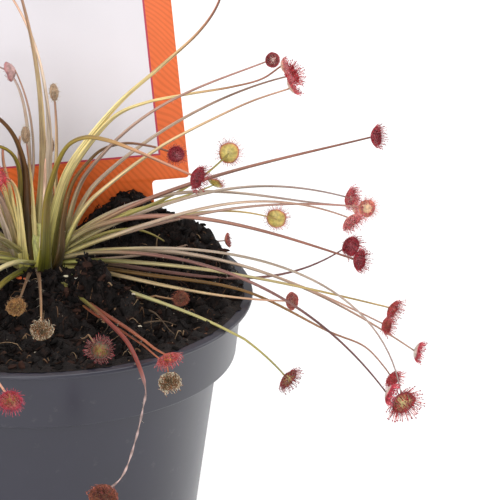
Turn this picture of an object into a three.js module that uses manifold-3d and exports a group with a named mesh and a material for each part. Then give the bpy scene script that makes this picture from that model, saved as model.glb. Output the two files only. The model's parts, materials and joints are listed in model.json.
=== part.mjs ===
// A sundew in a round nursery pot, with a blank plant label stuck in the soil behind it.
// Millimetres, +Z up. The origin is the middle of the pot's flat base.
// A rosette of long leaf stalks (petioles) grows from a short crown. Each stalk ends in a
// round cupped trap whose rim and face carry tentacles.

import * as THREE from 'three';
import { mergeVertices } from 'three/addons/utils/BufferGeometryUtils.js';
import Module from 'manifold-3d';

const wasm = await Module();
wasm.setup();

// ---- Driving dimensions ----

const GAP = 0.3; // between touching pieces
const SEGMENTS = 48; // round the pot and the soil in it

const POT = {
  height: 76,
  lipRadius: 45,
  lipThickness: 0.9,
  collarTopRadius: 42.8, // the wide collar under the lip
  collarBottomRadius: 41.4,
  collarHeight: 12,
  bodyTopRadius: 37.9,
  baseRadius: 29.2,
  baseChamfer: 0.8,
  wall: 1.2,
  floor: 1.6,
};
const DRAIN = { count: 6, radius: 2.5, circle: 18 }; // holes in the pot's floor

const SOIL = {
  rimLevel: 75.3,
  rings: [39.6, 36.5, 32.5, 28, 23.5, 19, 14.5, 10.5, 7.2],
  roughness: 0.45,
  lowRise: 22, // a stalk that leaves the crown lower than this gets a channel in the soil
};
// Heaps on the soil: middle, height, half widths along X and Y. A blunt one is steep-sided.
const MOUNDS = [
  { at: [0, 4], rise: 3.4, spread: [15, 12] }, // round the crown
  { at: [18.8, 25], rise: 12, spread: [10.5, 7] }, // the bank behind
  { at: [33, 20], rise: 3.5, spread: [8, 8] },
  { at: [-13, 25], rise: 9.5, spread: [12, 8] },
  { at: [36, 13], rise: 4, spread: [8, 10] },
  { at: [3, -4], rise: 3.6, spread: [8, 7] },
  { at: [11.4, -8.6], rise: 8.2, spread: [3.7, 4.4], blunt: 2 }, // the clod in front of the crown
  { at: [17, -10.6], rise: 5.2, spread: [4.2, 4], blunt: 2 },
  { at: [4.6, -14], rise: 3.4, spread: [4.6, 4], blunt: 2 },
  { at: [-24, -12], rise: 2.4, spread: [9, 8] },
];

const LABEL = {
  thickness: 0.8,
  headWidth: 59,
  headHeight: 60,
  neckWidth: 43,
  neckDepth: 9, // from the shoulder down to the start of the taper
  stakeDepth: 34, // from there down to the point
  cornerRadius: 0.9,
  shoulder: [2.2, 28, 88], // middle of the head's lower edge
  lean: 5.3, // degrees, to the left
};

const CROWN = {
  at: [0, 5],
  foot: 56, // lowest point, in the soil
  neck: 76,
  top: 84.6,
  radius: 4.6,
  footRadius: 3,
};

const PETIOLE = {
  steps: 8,
  rootWidth: 2.7,
  midWidth: 1.7,
  tipWidth: 0.7,
  rootThickness: 1.2,
  tipThickness: 0.62,
  rootHeight: 81.2,
};

const TRAP = {
  sides: 20,
  radius: 2.1, // of the cup, where the leaf gives no size
  depth: 0.42, // of the cup behind its rim, as a share of the trap's radius
  dish: 0.16, // from the rim down to the middle of the face
  rimTentacle: 0.66, // length past the rim
  faceTentacle: 0.62, // height above the face
};

// Degrees: rise is the stalk's pitch where it leaves the crown, fall its pitch at the trap.
// tip is the middle of the trap. face is the trap's [heading, pitch], else the stalk's own.
// pull gives how long the stalk keeps each pitch, as shares of its span.
// kind is the trap's state: red, pale, green, dry or bud, or bare for a leaf that has none.
// via lists points on a crooked stalk.
const LEAVES = [
  // tall ones on the right
  {
    tip: [39.5, 14, 140],
    via: [
      [3.4, 2, 93.5], [6.5, 4, 101], [9.6, 6, 105.6], [17.6, 8, 115], [26, 10, 122],
      [34, 12, 129], [37.6, 13.3, 134],
    ],
    rise: 70, fall: 66, size: 2.2, kind: 'red',
  },
  {
    tip: [51, 10, 122],
    via: [
      [5.2, 4, 97], [11.3, 6, 106.4], [16.9, 7, 112.4], [22.7, 8, 114.7], [30.7, 9, 116.1],
      [40.7, 10, 117.5], [47, 10, 119.3],
    ],
    rise: 68, fall: 27, face: [0, 10], size: 1.5, kind: 'pale',
  },
  { tip: [48.8, 2, 126.2], rise: 65, fall: 23, pull: [0.55, 0.33], face: [-75, 15], size: 1.6, kind: 'red' },
  { tip: [52.9, 18, 117.2], rise: 58, fall: 8, pull: [0.41, 0.23], face: [-35, 40], size: 2, kind: 'red' },
  {
    tip: [52.7, 3, 119.8],
    via: [[7.6, 3, 91.4], [16.9, 3, 100], [26.7, 3, 107.4], [36.5, 3, 112.9], [45, 3, 117]],
    rise: 55, fall: 31, face: [10, 30], size: 1.8, kind: 'pale',
  },
  { tip: [69.8, 0, 110.2], rise: 36, fall: 16, face: [-34, 12], size: 1.9, kind: 'red' },
  // the spreading ones on the right
  { tip: [64.8, 4, 95.3], rise: 27, fall: -15, pull: [0.48, 0.34], face: [-35, 0], size: 1.9, kind: 'red' },
  { tip: [66, 13, 90], rise: 37, fall: -5, pull: [0.52, 0.35], size: 1.7, kind: 'pale' },
  { tip: [65, -9, 95.5], rise: 20, fall: -18, face: [-50, -35], size: 1.9, kind: 'pale' },
  { tip: [68.4, -2, 95.3], rise: 20, fall: -5, face: [-72, 8], size: 1.8, kind: 'pale' },
  { tip: [65.1, 2, 85.4], rise: 0, fall: 38, face: [-65, 5], size: 2, kind: 'red' },
  { tip: [66.5, -6, 85.4], rise: 40, fall: -16, face: [-40, 8], size: 2, kind: 'red' },
  { tip: [73.6, -9, 75.8], rise: 4, fall: -10, face: [-42, -14], size: 1.8, kind: 'red' },
  { tip: [72.7, 0, 68.4], rise: 13, fall: -27, face: [-45, 5], size: 1.6, kind: 'red' },
  { tip: [79.2, 6, 60], rise: 10, fall: -36, face: [-5, -15], size: 1.9, kind: 'red' },
  {
    tip: [75.8, -17, 58.3],
    rise: 16, fall: -84, pull: [0.53, 0.35], face: [-70, -8], size: 2.5, kind: 'red',
  },
  {
    tip: [74, -7, 59.3],
    via: [[22, 0, 79.8], [43.5, -4.5, 77.7], [60.9, -7, 69.7], [68.2, -7.5, 66.6], [72.3, -7.5, 62]],
    rise: -2, fall: -60, face: [-60, -10], size: 1.6, kind: 'red',
  },
  { tip: [72.4, -26, 64.3], rise: 18, fall: -50, face: [-15, -18], size: 2, kind: 'red' },
  { tip: [52.6, -9, 77.5], rise: -4, fall: 4, face: [-40, 15], size: 1.9, kind: 'red' },
  { tip: [39.4, 17, 80.6], rise: 2, fall: -2, face: [-8, 12], size: 1.6, kind: 'red' },
  // behind, on the right, with their green backs to the front
  { tip: [50, 26, 82], rise: 8, fall: -25, face: [85, -8], size: 2.1, kind: 'green' },
  { tip: [40, 23, 98], rise: 26, fall: 40, face: [84, -16], size: 2.2, kind: 'green' },
  { tip: [37, 26, 90], rise: 30, fall: 12, face: [60, 35], size: 1.6, kind: 'green' },
  // arching over the middle
  {
    tip: [33.2, -5, 103.4],
    via: [
      [1.4, -1.5, 88], [2.5, -2, 96.7], [3.7, -2, 101.4], [5.1, -2.5, 105.8], [7.4, -3, 109.7],
      [10.8, -3, 111.2], [15, -3.5, 110.8], [20, -4, 109.1], [25.2, -4.5, 106.9],
    ],
    rise: 84, fall: -30, face: [-42, -4], size: 2.2, kind: 'red',
  },
  {
    tip: [29, 8, 103.5],
    via: [
      [3, 2, 87.7], [4.8, 3, 92.9], [7.4, 4, 98.2], [10.5, 5, 102.3], [13.7, 6, 105.1],
      [18.5, 7, 106.2], [23.5, 7.6, 105.4],
    ],
    rise: 80, fall: -20, face: [-80, 5], size: 1.7, kind: 'red',
  },
  // low, in front
  { tip: [52, -30, 69.2], rise: -1, fall: -38, pull: [0.4, 0.3], face: [-46, -20], size: 2.1, kind: 'green' },
  { tip: [28.1, -45.5, 80.4], rise: 0, fall: -12, face: [-65, -36], size: 2.1, kind: 'red' },
  {
    tip: [28.2, -40.5, 73],
    via: [[10, -12, 79.6], [19.5, -28, 79.2], [25.2, -36.6, 77.2], [27.8, -40, 76.2]],
    rise: 0, fall: -60, face: [-80, -8], size: 1.8, kind: 'dry',
  },
  {
    tip: [15.3, -52, 53.6],
    via: [
      [10, -13, 80.3], [15.6, -26, 80.8], [20.5, -37, 79.3], [23.4, -43.2, 72.9],
      [23, -44.6, 70], [21.5, -47, 63.3], [18.7, -50, 56.3],
    ],
    rise: 0, fall: -60, face: [-95, -8], size: 2.8, kind: 'dry',
  },
  { tip: [14.4, -38.5, 79], rise: 0, fall: 0, face: [-88, 38], size: 1.9, kind: 'red' },
  {
    tip: [-3, -52, 74],
    via: [[-6, -8, 81.5], [-10, -24, 81], [-9.5, -40, 79.6], [-7, -46.5, 77.8]],
    rise: 8, fall: -45, face: [-85, -5], size: 2.2, kind: 'red',
  },
  { tip: [-3.2, -18, 79.6], rise: 5, fall: -10, face: [-95, 45], size: 2, kind: 'dry' },
  { tip: [2.3, -29.4, 79], rise: 5, fall: -5, face: [-85, 50], size: 2.2, kind: 'dry' },
  { tip: [30.3, -10.5, 78.4], rise: -2, fall: 5, face: [-100, 40], size: 1.6, kind: 'dry' },
  // upright ones over the crown
  { tip: [-3.4, 1, 145.5], rise: 98, fall: 70, face: [-90, 60], kind: 'red' },
  { tip: [-9, 5, 146], rise: 98, fall: 50, face: [-60, 70], kind: 'pale' },
  { tip: [-4.2, 6, 122.5], rise: 84, fall: 64, face: [170, -20], kind: 'red' },
  { tip: [-9, 15, 120], rise: 78, fall: -12, face: [180, -35], kind: 'pale' },
  { tip: [-7, -10, 105], rise: 60, fall: 10, face: [-95, 12], size: 1.8, kind: 'red' },
  { tip: [-26, 4, 113], rise: 72, fall: -18, pull: [0.26, 0.81], kind: 'red' },
  { tip: [-28, -4, 102], rise: 73, fall: -23, pull: [0.51, 1.06], kind: 'pale' },
  { tip: [4.2, 4, 118.2], rise: 74, fall: 95, kind: 'bud' },
  { tip: [-1.6, 1, 110], rise: 95, fall: 85, kind: 'bud' },
  { tip: [3, 7, 105.4], rise: 85, fall: 90, kind: 'bud' },
  { tip: [26.4, 14, 81.6], rise: 14, fall: -40, pull: [0.5, 0.4], kind: 'bare' },
  { tip: [-7.5, 4, 113], rise: 80, fall: 112, kind: 'bare' },
  { tip: [-7.2, 0, 101], rise: 80, fall: 112, kind: 'bare' },
  { tip: [-6.4, 3, 107], rise: 92, fall: 96, kind: 'bare' },
  { tip: [-3, 6, 108], rise: 92, fall: 100, kind: 'bare' },
  { tip: [2.3, 5, 103.6], rise: 90, fall: 86, kind: 'bare' },
];

const TRAPLESS = new Set(['bud', 'bare']);

// The left half of the rosette: tiers of leaves at even headings, each moved a little at random.
const TIERS = [
  { count: 3, from: 163, to: 222, reach: 42, height: 116, rise: 72, fall: 20 },
  { count: 4, from: 153, to: 236, reach: 62, height: 99, rise: 40, fall: -12 },
  { count: 4, from: 166, to: 254, reach: 66, height: 82, rise: 20, fall: -24 },
  { count: 3, from: 172, to: 226, reach: 64, height: 64, rise: 18, fall: -56 },
];
const TIER_WANDER = { heading: 5, reach: 5, height: 4 };
const SEED = 11;

const MATERIALS = {
  pot: new THREE.MeshStandardMaterial({ color: 0x47464e, roughness: 0.45, metalness: 0 }),
  soil: new THREE.MeshStandardMaterial({ color: 0x1d1718, roughness: 0.95, metalness: 0 }),
  label: new THREE.MeshStandardMaterial({ color: 0xf2efe9, roughness: 0.4, metalness: 0 }),
  petiole: new THREE.MeshStandardMaterial({ color: 0xa09258, roughness: 0.6, metalness: 0 }),
  red: new THREE.MeshStandardMaterial({ color: 0xa8323a, roughness: 0.35, metalness: 0 }),
  pale: new THREE.MeshStandardMaterial({ color: 0xd99a8c, roughness: 0.35, metalness: 0 }),
  green: new THREE.MeshStandardMaterial({ color: 0xb9b04e, roughness: 0.4, metalness: 0 }),
  dry: new THREE.MeshStandardMaterial({ color: 0x9a7a4c, roughness: 0.8, metalness: 0 }),
};

// ---- Helpers ----

const radians = THREE.MathUtils.degToRad;
const UP = new THREE.Vector3(0, 0, 1);

function seededRandom(seed) {
  let state = seed;
  return () => {
    state = (state * 16807) % 2147483647;
    return state / 2147483647;
  };
}

// A geometry with its shared vertices merged and the flat triangles at its poles dropped.
function welded(geometry) {
  const bare = geometry.clone();
  bare.deleteAttribute('normal');
  bare.deleteAttribute('uv');
  const merged = mergeVertices(bare, 1e-4);
  const old = merged.index.array;
  const kept = [];
  for (let i = 0; i < old.length; i += 3) {
    const [a, b, c] = [old[i], old[i + 1], old[i + 2]];
    if (a !== b && b !== c && c !== a) kept.push(a, b, c);
  }
  merged.setIndex(kept);
  return merged;
}

function solid(geometry) {
  const merged = welded(geometry);
  return new wasm.Manifold(new wasm.Mesh({
    numProp: 3,
    vertProperties: new Float32Array(merged.attributes.position.array),
    triVerts: new Uint32Array(merged.index.array),
  }));
}

function geometryOf(body) {
  const { vertProperties, triVerts } = body.getMesh();
  const geometry = new THREE.BufferGeometry();
  geometry.setAttribute('position', new THREE.BufferAttribute(vertProperties, 3));
  geometry.setIndex(new THREE.BufferAttribute(triVerts, 1));
  geometry.computeVertexNormals();
  return geometry;
}

function piece(name, body, material) {
  const mesh = new THREE.Mesh(geometryOf(body), material);
  mesh.name = name;
  return mesh;
}

// A lathe turned about Z from [radius, height] points.
function turned(profile, segments) {
  const points = profile.map(([radius, height]) => new THREE.Vector2(radius, height));
  return new THREE.LatheGeometry(points, segments).rotateX(Math.PI / 2);
}

function direction(heading, pitch) {
  return new THREE.Vector3(
    Math.cos(radians(heading)) * Math.cos(radians(pitch)),
    Math.sin(radians(heading)) * Math.cos(radians(pitch)),
    Math.sin(radians(pitch)),
  );
}

// ---- Pot ----

const collarFoot = POT.height - POT.lipThickness - POT.collarHeight;
const ledgeTop = collarFoot + POT.wall;
const collarInner = { top: POT.collarTopRadius - POT.wall, bottom: POT.collarBottomRadius - POT.wall };
const bodyInner = { top: POT.bodyTopRadius - POT.wall, bottom: POT.baseRadius - POT.wall };

function potSolid() {
  const shell = solid(turned([
    [0, 0],
    [POT.baseRadius - POT.baseChamfer, 0],
    [POT.baseRadius, POT.baseChamfer],
    [POT.bodyTopRadius, collarFoot],
    [POT.collarBottomRadius, collarFoot],
    [POT.collarTopRadius, POT.height - POT.lipThickness],
    [POT.lipRadius, POT.height - POT.lipThickness],
    [POT.lipRadius, POT.height],
    [collarInner.top, POT.height],
    [collarInner.bottom, ledgeTop],
    [bodyInner.top, ledgeTop],
    [bodyInner.bottom, POT.floor],
    [0, POT.floor],
  ], SEGMENTS));
  let pot = shell;
  for (let i = 0; i < DRAIN.count; i += 1) {
    const angle = (i * 2 * Math.PI) / DRAIN.count;
    const drill = new THREE.CylinderGeometry(DRAIN.radius, DRAIN.radius, POT.floor * 3, 12)
      .rotateX(Math.PI / 2)
      .translate(DRAIN.circle * Math.cos(angle), DRAIN.circle * Math.sin(angle), 0);
    pot = pot.subtract(solid(drill));
  }
  return pot;
}

// ---- Soil ----

const soilEdge = collarInner.top - GAP;

function soilHeight(x, y) {
  let height = SOIL.rimLevel;
  for (const { at, rise, spread, blunt = 1 } of MOUNDS) {
    const across = (x - at[0]) / spread[0];
    const along = (y - at[1]) / spread[1];
    height += rise * Math.exp(-((across * across + along * along) ** blunt));
  }
  height += SOIL.roughness * (Math.sin(x * 1.3 + y * 0.7) + Math.sin(y * 1.7 - x * 0.6));
  const inset = soilEdge - Math.hypot(x, y);
  const edge = THREE.MathUtils.smoothstep(inset, 0, 2.4);
  return THREE.MathUtils.lerp(SOIL.rimLevel, height, edge);
}

function soilSolid(holes) {
  const floor = POT.floor + GAP;
  const side = [
    [0, floor],
    [bodyInner.bottom - GAP, floor],
    [bodyInner.top - GAP, ledgeTop + GAP],
    [collarInner.bottom - GAP, ledgeTop + GAP],
    [soilEdge, SOIL.rimLevel],
  ];
  const top = [...SOIL.rings, 0].map((radius) => [radius, SOIL.rimLevel]);
  const geometry = turned([...side, ...top], SEGMENTS);
  const position = geometry.attributes.position;
  const perColumn = side.length + top.length;
  for (let i = 0; i < position.count; i += 1) {
    if (i % perColumn >= side.length) {
      position.setZ(i, soilHeight(position.getX(i), position.getY(i)));
    }
  }
  let soil = solid(geometry);
  for (const hole of holes) soil = soil.subtract(hole);
  return soil.decompose().sort((a, b) => b.volume() - a.volume())[0];
}

// ---- Label ----

// The outline of the card, grown all round by the margin.
function labelSolid(margin) {
  const head = LABEL.headWidth / 2 + margin;
  const neck = LABEL.neckWidth / 2 + margin;
  const top = LABEL.headHeight + margin;
  const corner = LABEL.cornerRadius;
  const taper = -LABEL.neckDepth;
  const tip = taper - LABEL.stakeDepth - margin;
  const tipWidth = 3;
  const outline = new THREE.Shape();
  outline.moveTo(-tipWidth, tip);
  outline.lineTo(tipWidth, tip);
  outline.lineTo(neck, taper);
  outline.lineTo(neck, -corner);
  outline.absarc(neck + corner, -corner, corner, Math.PI, Math.PI / 2, true);
  outline.lineTo(head - corner, 0);
  outline.absarc(head - corner, corner, corner, -Math.PI / 2, 0, false);
  outline.absarc(head - corner, top - corner, corner, 0, Math.PI / 2, false);
  outline.absarc(corner - head, top - corner, corner, Math.PI / 2, Math.PI, false);
  outline.absarc(corner - head, corner, corner, Math.PI, Math.PI * 1.5, false);
  outline.lineTo(-neck - corner, 0);
  outline.absarc(-neck - corner, -corner, corner, Math.PI / 2, 0, true);
  outline.lineTo(-neck, taper);
  const depth = LABEL.thickness + 2 * margin;
  const card = new THREE.ExtrudeGeometry(outline, { depth, bevelEnabled: false, curveSegments: 6 })
    .translate(0, 0, -depth / 2)
    .rotateX(Math.PI / 2)
    .rotateY(-radians(LABEL.lean))
    .translate(...LABEL.shoulder);
  return solid(card);
}

// ---- Crown and stalks ----

const crownMiddle = new THREE.Vector3(CROWN.at[0], CROWN.at[1], PETIOLE.rootHeight);

function crownSolid(margin) {
  const profile = [
    [0, CROWN.foot - margin],
    [CROWN.footRadius + margin, CROWN.foot - margin],
    [CROWN.radius - 0.6 + margin, CROWN.neck],
    [CROWN.radius + margin, PETIOLE.rootHeight],
    [CROWN.radius * 0.6 + margin, CROWN.top - 0.8],
    [0, CROWN.top + margin],
  ];
  return solid(turned(profile, 16).translate(CROWN.at[0], CROWN.at[1], 0));
}

function headingOf({ tip }) {
  return THREE.MathUtils.radToDeg(Math.atan2(tip[1] - CROWN.at[1], tip[0] - CROWN.at[0]));
}

function trapFacing(leaf) {
  return leaf.face ? direction(...leaf.face) : direction(headingOf(leaf), leaf.fall);
}

function trapSize(leaf) {
  return leaf.size ?? TRAP.radius;
}

// Where the stalk stops, just clear of the back of its trap.
function stalkEnd(leaf) {
  const tip = new THREE.Vector3(...leaf.tip);
  if (TRAPLESS.has(leaf.kind)) return tip;
  const facing = trapFacing(leaf);
  const turn = facing.angleTo(direction(headingOf(leaf), leaf.fall));
  const clear = GAP + (Math.sin(turn) * PETIOLE.tipWidth) / 2;
  return tip.addScaledVector(facing, -TRAP.depth * trapSize(leaf) - clear);
}

function stalkCurve(leaf) {
  const heading = headingOf(leaf);
  const start = crownMiddle.clone().addScaledVector(direction(heading, leaf.rise), 2.2);
  const end = stalkEnd(leaf);
  if (leaf.via) {
    const points = leaf.via.map((point) => new THREE.Vector3(...point));
    return new THREE.CatmullRomCurve3([start, ...points, end]);
  }
  const span = start.distanceTo(end);
  const [near, far] = leaf.pull ?? [0.38, 0.38];
  const first = start.clone().addScaledVector(direction(heading, leaf.rise), near * span);
  const last = end.clone().addScaledVector(direction(heading, leaf.fall), -far * span);
  return new THREE.CubicBezierCurve3(start, first, last, end);
}

// A four-sided strap bent along the stalk's curve, wide at the crown and thin at the trap.
function stalkGeometry(leaf, margin) {
  const square = new THREE.Shape([
    new THREE.Vector2(-0.5, -0.5),
    new THREE.Vector2(0.5, -0.5),
    new THREE.Vector2(0.5, 0.5),
    new THREE.Vector2(-0.5, 0.5),
  ]);
  const steps = PETIOLE.steps + (leaf.via?.length ?? 0);
  const strap = new THREE.ExtrudeGeometry(square, { depth: 1, steps, bevelEnabled: false });
  const curve = stalkCurve(leaf);
  const across = direction(headingOf(leaf) + 90, 0);
  const position = strap.attributes.position;
  const at = new THREE.Vector3();
  for (let i = 0; i < position.count; i += 1) {
    const along = position.getZ(i);
    const { rootWidth, midWidth, tipWidth, rootThickness, tipThickness } = PETIOLE;
    const sheath = Math.max(0, 1 - along * 5);
    const width = THREE.MathUtils.lerp(midWidth, tipWidth, along) + (rootWidth - midWidth) * sheath;
    const thickness = THREE.MathUtils.lerp(rootThickness, tipThickness, along);
    const tangent = curve.getTangentAt(along);
    const side = across.clone().addScaledVector(tangent, -across.dot(tangent)).normalize();
    const face = tangent.clone().cross(side);
    curve.getPointAt(along, at);
    at.addScaledVector(side, position.getX(i) * (width + 2 * margin));
    at.addScaledVector(face, position.getY(i) * (thickness + 2 * margin));
    position.setXYZ(i, at.x, at.y, at.z);
  }
  return strap;
}

// ---- Traps ----

// A cupped disc facing +Z with its rim at z = 0. Every other point of the rim is drawn out
// into a tentacle, and every fourth point of the face into one that stands up.
function trapGeometry(leaf, random) {
  const size = trapSize(leaf);
  const withered = leaf.kind === 'dry';
  const faceRing = 0.62;
  const profile = [
    [0, -TRAP.depth],
    [0.62, -TRAP.depth * 0.72],
    [1, 0],
    [faceRing, -TRAP.dish * 0.5],
    [0, -TRAP.dish],
  ];
  const geometry = welded(turned(profile, TRAP.sides));
  const position = geometry.attributes.position;
  for (let i = 0; i < position.count; i += 1) {
    const x = position.getX(i);
    const y = position.getY(i);
    const z = position.getZ(i);
    const radius = Math.hypot(x, y);
    const index = Math.round((Math.atan2(y, x) / (2 * Math.PI)) * TRAP.sides + TRAP.sides);
    let reach = 1;
    let lift = 0;
    if (radius > 0.9 && index % 2 === 0) {
      reach += TRAP.rimTentacle * (withered ? 0.3 : 0.85 + 0.3 * random());
      lift = withered ? 0.4 * random() : 0.1 + 0.25 * random();
    } else if (Math.abs(radius - faceRing) < 0.01 && z > -TRAP.depth * 0.6 && index % 4 === 1) {
      lift = TRAP.faceTentacle * (withered ? 0.3 : 0.8 + 0.4 * random());
      reach += 0.12;
    }
    position.setXYZ(i, x * reach * size, y * reach * size, (z + lift) * size);
  }
  return geometry;
}

function placedTrap(leaf, random) {
  const turn = new THREE.Quaternion().setFromUnitVectors(UP, trapFacing(leaf));
  return trapGeometry(leaf, random).applyQuaternion(turn).translate(...leaf.tip);
}

// A young leaf still rolled up: a slim egg, standing along its stalk.
function budGeometry(leaf) {
  const turn = new THREE.Quaternion().setFromUnitVectors(UP, direction(headingOf(leaf), leaf.fall));
  return turned([[0, -1.8], [0.85, -0.8], [1.05, 0.4], [0.65, 1.6], [0, 2.2]], 8)
    .applyQuaternion(turn)
    .translate(...leaf.tip);
}

// ---- Assembly ----

function leftLeaves(random) {
  const leaves = [];
  const wander = (amount) => (2 * random() - 1) * amount;
  for (const tier of TIERS) {
    for (let i = 0; i < tier.count; i += 1) {
      const share = i / (tier.count - 1);
      const heading = tier.from + (tier.to - tier.from) * share + wander(TIER_WANDER.heading);
      const reach = tier.reach + wander(TIER_WANDER.reach);
      const middle = direction(heading, 0).multiplyScalar(reach);
      const height = tier.height + wander(TIER_WANDER.height);
      leaves.push({
        tip: [CROWN.at[0] + middle.x, CROWN.at[1] + middle.y, height],
        rise: tier.rise,
        fall: tier.fall,
        kind: random() < 0.3 ? 'pale' : 'red',
      });
    }
  }
  return leaves;
}

const random = seededRandom(SEED);
const leaves = [...LEAVES, ...leftLeaves(random)];

let rosette = crownSolid(0);
for (const leaf of leaves) {
  rosette = rosette.add(solid(stalkGeometry(leaf, 0)));
  if (leaf.kind === 'bud') rosette = rosette.add(solid(budGeometry(leaf)));
}

const soilHoles = [crownSolid(GAP), labelSolid(GAP)];
for (const leaf of leaves.filter(({ rise }) => rise < SOIL.lowRise)) {
  soilHoles.push(solid(stalkGeometry(leaf, GAP)));
}

const plant = new THREE.Group();
plant.add(piece('pot', potSolid(), MATERIALS.pot));
plant.add(piece('soil', soilSolid(soilHoles), MATERIALS.soil));
plant.add(piece('plant_label', labelSolid(0), MATERIALS.label));
plant.add(piece('rosette', rosette, MATERIALS.petiole));
const trapLeaves = leaves.filter(({ kind }) => !TRAPLESS.has(kind));
trapLeaves.forEach((leaf, i) => {
  const name = `trap_${String(i + 1).padStart(2, '0')}`;
  plant.add(piece(name, solid(placedTrap(leaf, random)), MATERIALS[leaf.kind]));
});

export default plant;
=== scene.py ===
"""A sundew in a nursery pot: builds the dressed pot, soil, label and plant round the frame."""

import json
import math
import random
from collections import namedtuple

import bmesh
import bpy
import numpy as np
from bpy.props import (
    FloatProperty,
    FloatVectorProperty,
    IntProperty,
    PointerProperty,
)
from mathutils import Matrix, Vector, noise

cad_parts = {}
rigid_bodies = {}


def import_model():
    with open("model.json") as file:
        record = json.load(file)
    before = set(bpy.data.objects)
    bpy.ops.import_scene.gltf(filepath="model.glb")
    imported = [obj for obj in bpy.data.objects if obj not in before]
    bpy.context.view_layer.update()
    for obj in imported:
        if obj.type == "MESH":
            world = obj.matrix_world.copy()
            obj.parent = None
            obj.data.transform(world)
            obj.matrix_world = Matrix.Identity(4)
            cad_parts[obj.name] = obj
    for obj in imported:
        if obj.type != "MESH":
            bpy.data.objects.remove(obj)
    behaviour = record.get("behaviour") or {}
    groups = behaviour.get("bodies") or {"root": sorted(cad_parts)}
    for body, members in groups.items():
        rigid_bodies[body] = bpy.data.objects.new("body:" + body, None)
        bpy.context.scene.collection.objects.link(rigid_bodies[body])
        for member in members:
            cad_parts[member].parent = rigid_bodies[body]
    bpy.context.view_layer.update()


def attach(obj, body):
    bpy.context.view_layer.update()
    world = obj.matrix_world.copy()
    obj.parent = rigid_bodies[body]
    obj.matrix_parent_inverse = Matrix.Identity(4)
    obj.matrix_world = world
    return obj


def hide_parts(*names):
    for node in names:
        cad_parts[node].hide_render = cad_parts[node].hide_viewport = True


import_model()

bl_info = {
    "name": "Potted sundew",
    "version": (1, 0, 0),
    "blender": (4, 5, 0),
    "location": "View3D > Sidebar > Sundew",
    "description": "Builds a potted sundew piece by piece round its frame",
    "category": "Object",
}

MM = 0.001  # the pieces are worked out in millimetres and finished in metres
MERGE = 0.0005  # mm within which doubled vertices are merged
UP = Vector((0, 0, 1))


# ---- The plant's leaves ----

Leaf = namedtuple("Leaf", "tip rise fall pull face size kind mood stalk via wide seat roll sink")


def leaf(tip, rise, fall, kind, mood, stalk, pull=(0.38, 0.38), face=None, size=2.1, via=(),
         wide=1.0, seat=None, roll=0, sink=0):
    """One leaf: the middle of its trap in mm, its stalk's pitches, and what it looks like.

    face is the heading and pitch that the trap looks to, size its radius, and mood its
    colours and bearing. via is a list of points that the stalk passes. seat is the side of the
    crown that it sits on, roll turns the strap about its own length at the far end, and sink
    buries the stalk's near part by that many mm.
    """
    return Leaf(Vector(tip), rise, fall, pull, face, size, kind, mood, stalk, via, wide, seat,
                roll, sink)


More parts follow.
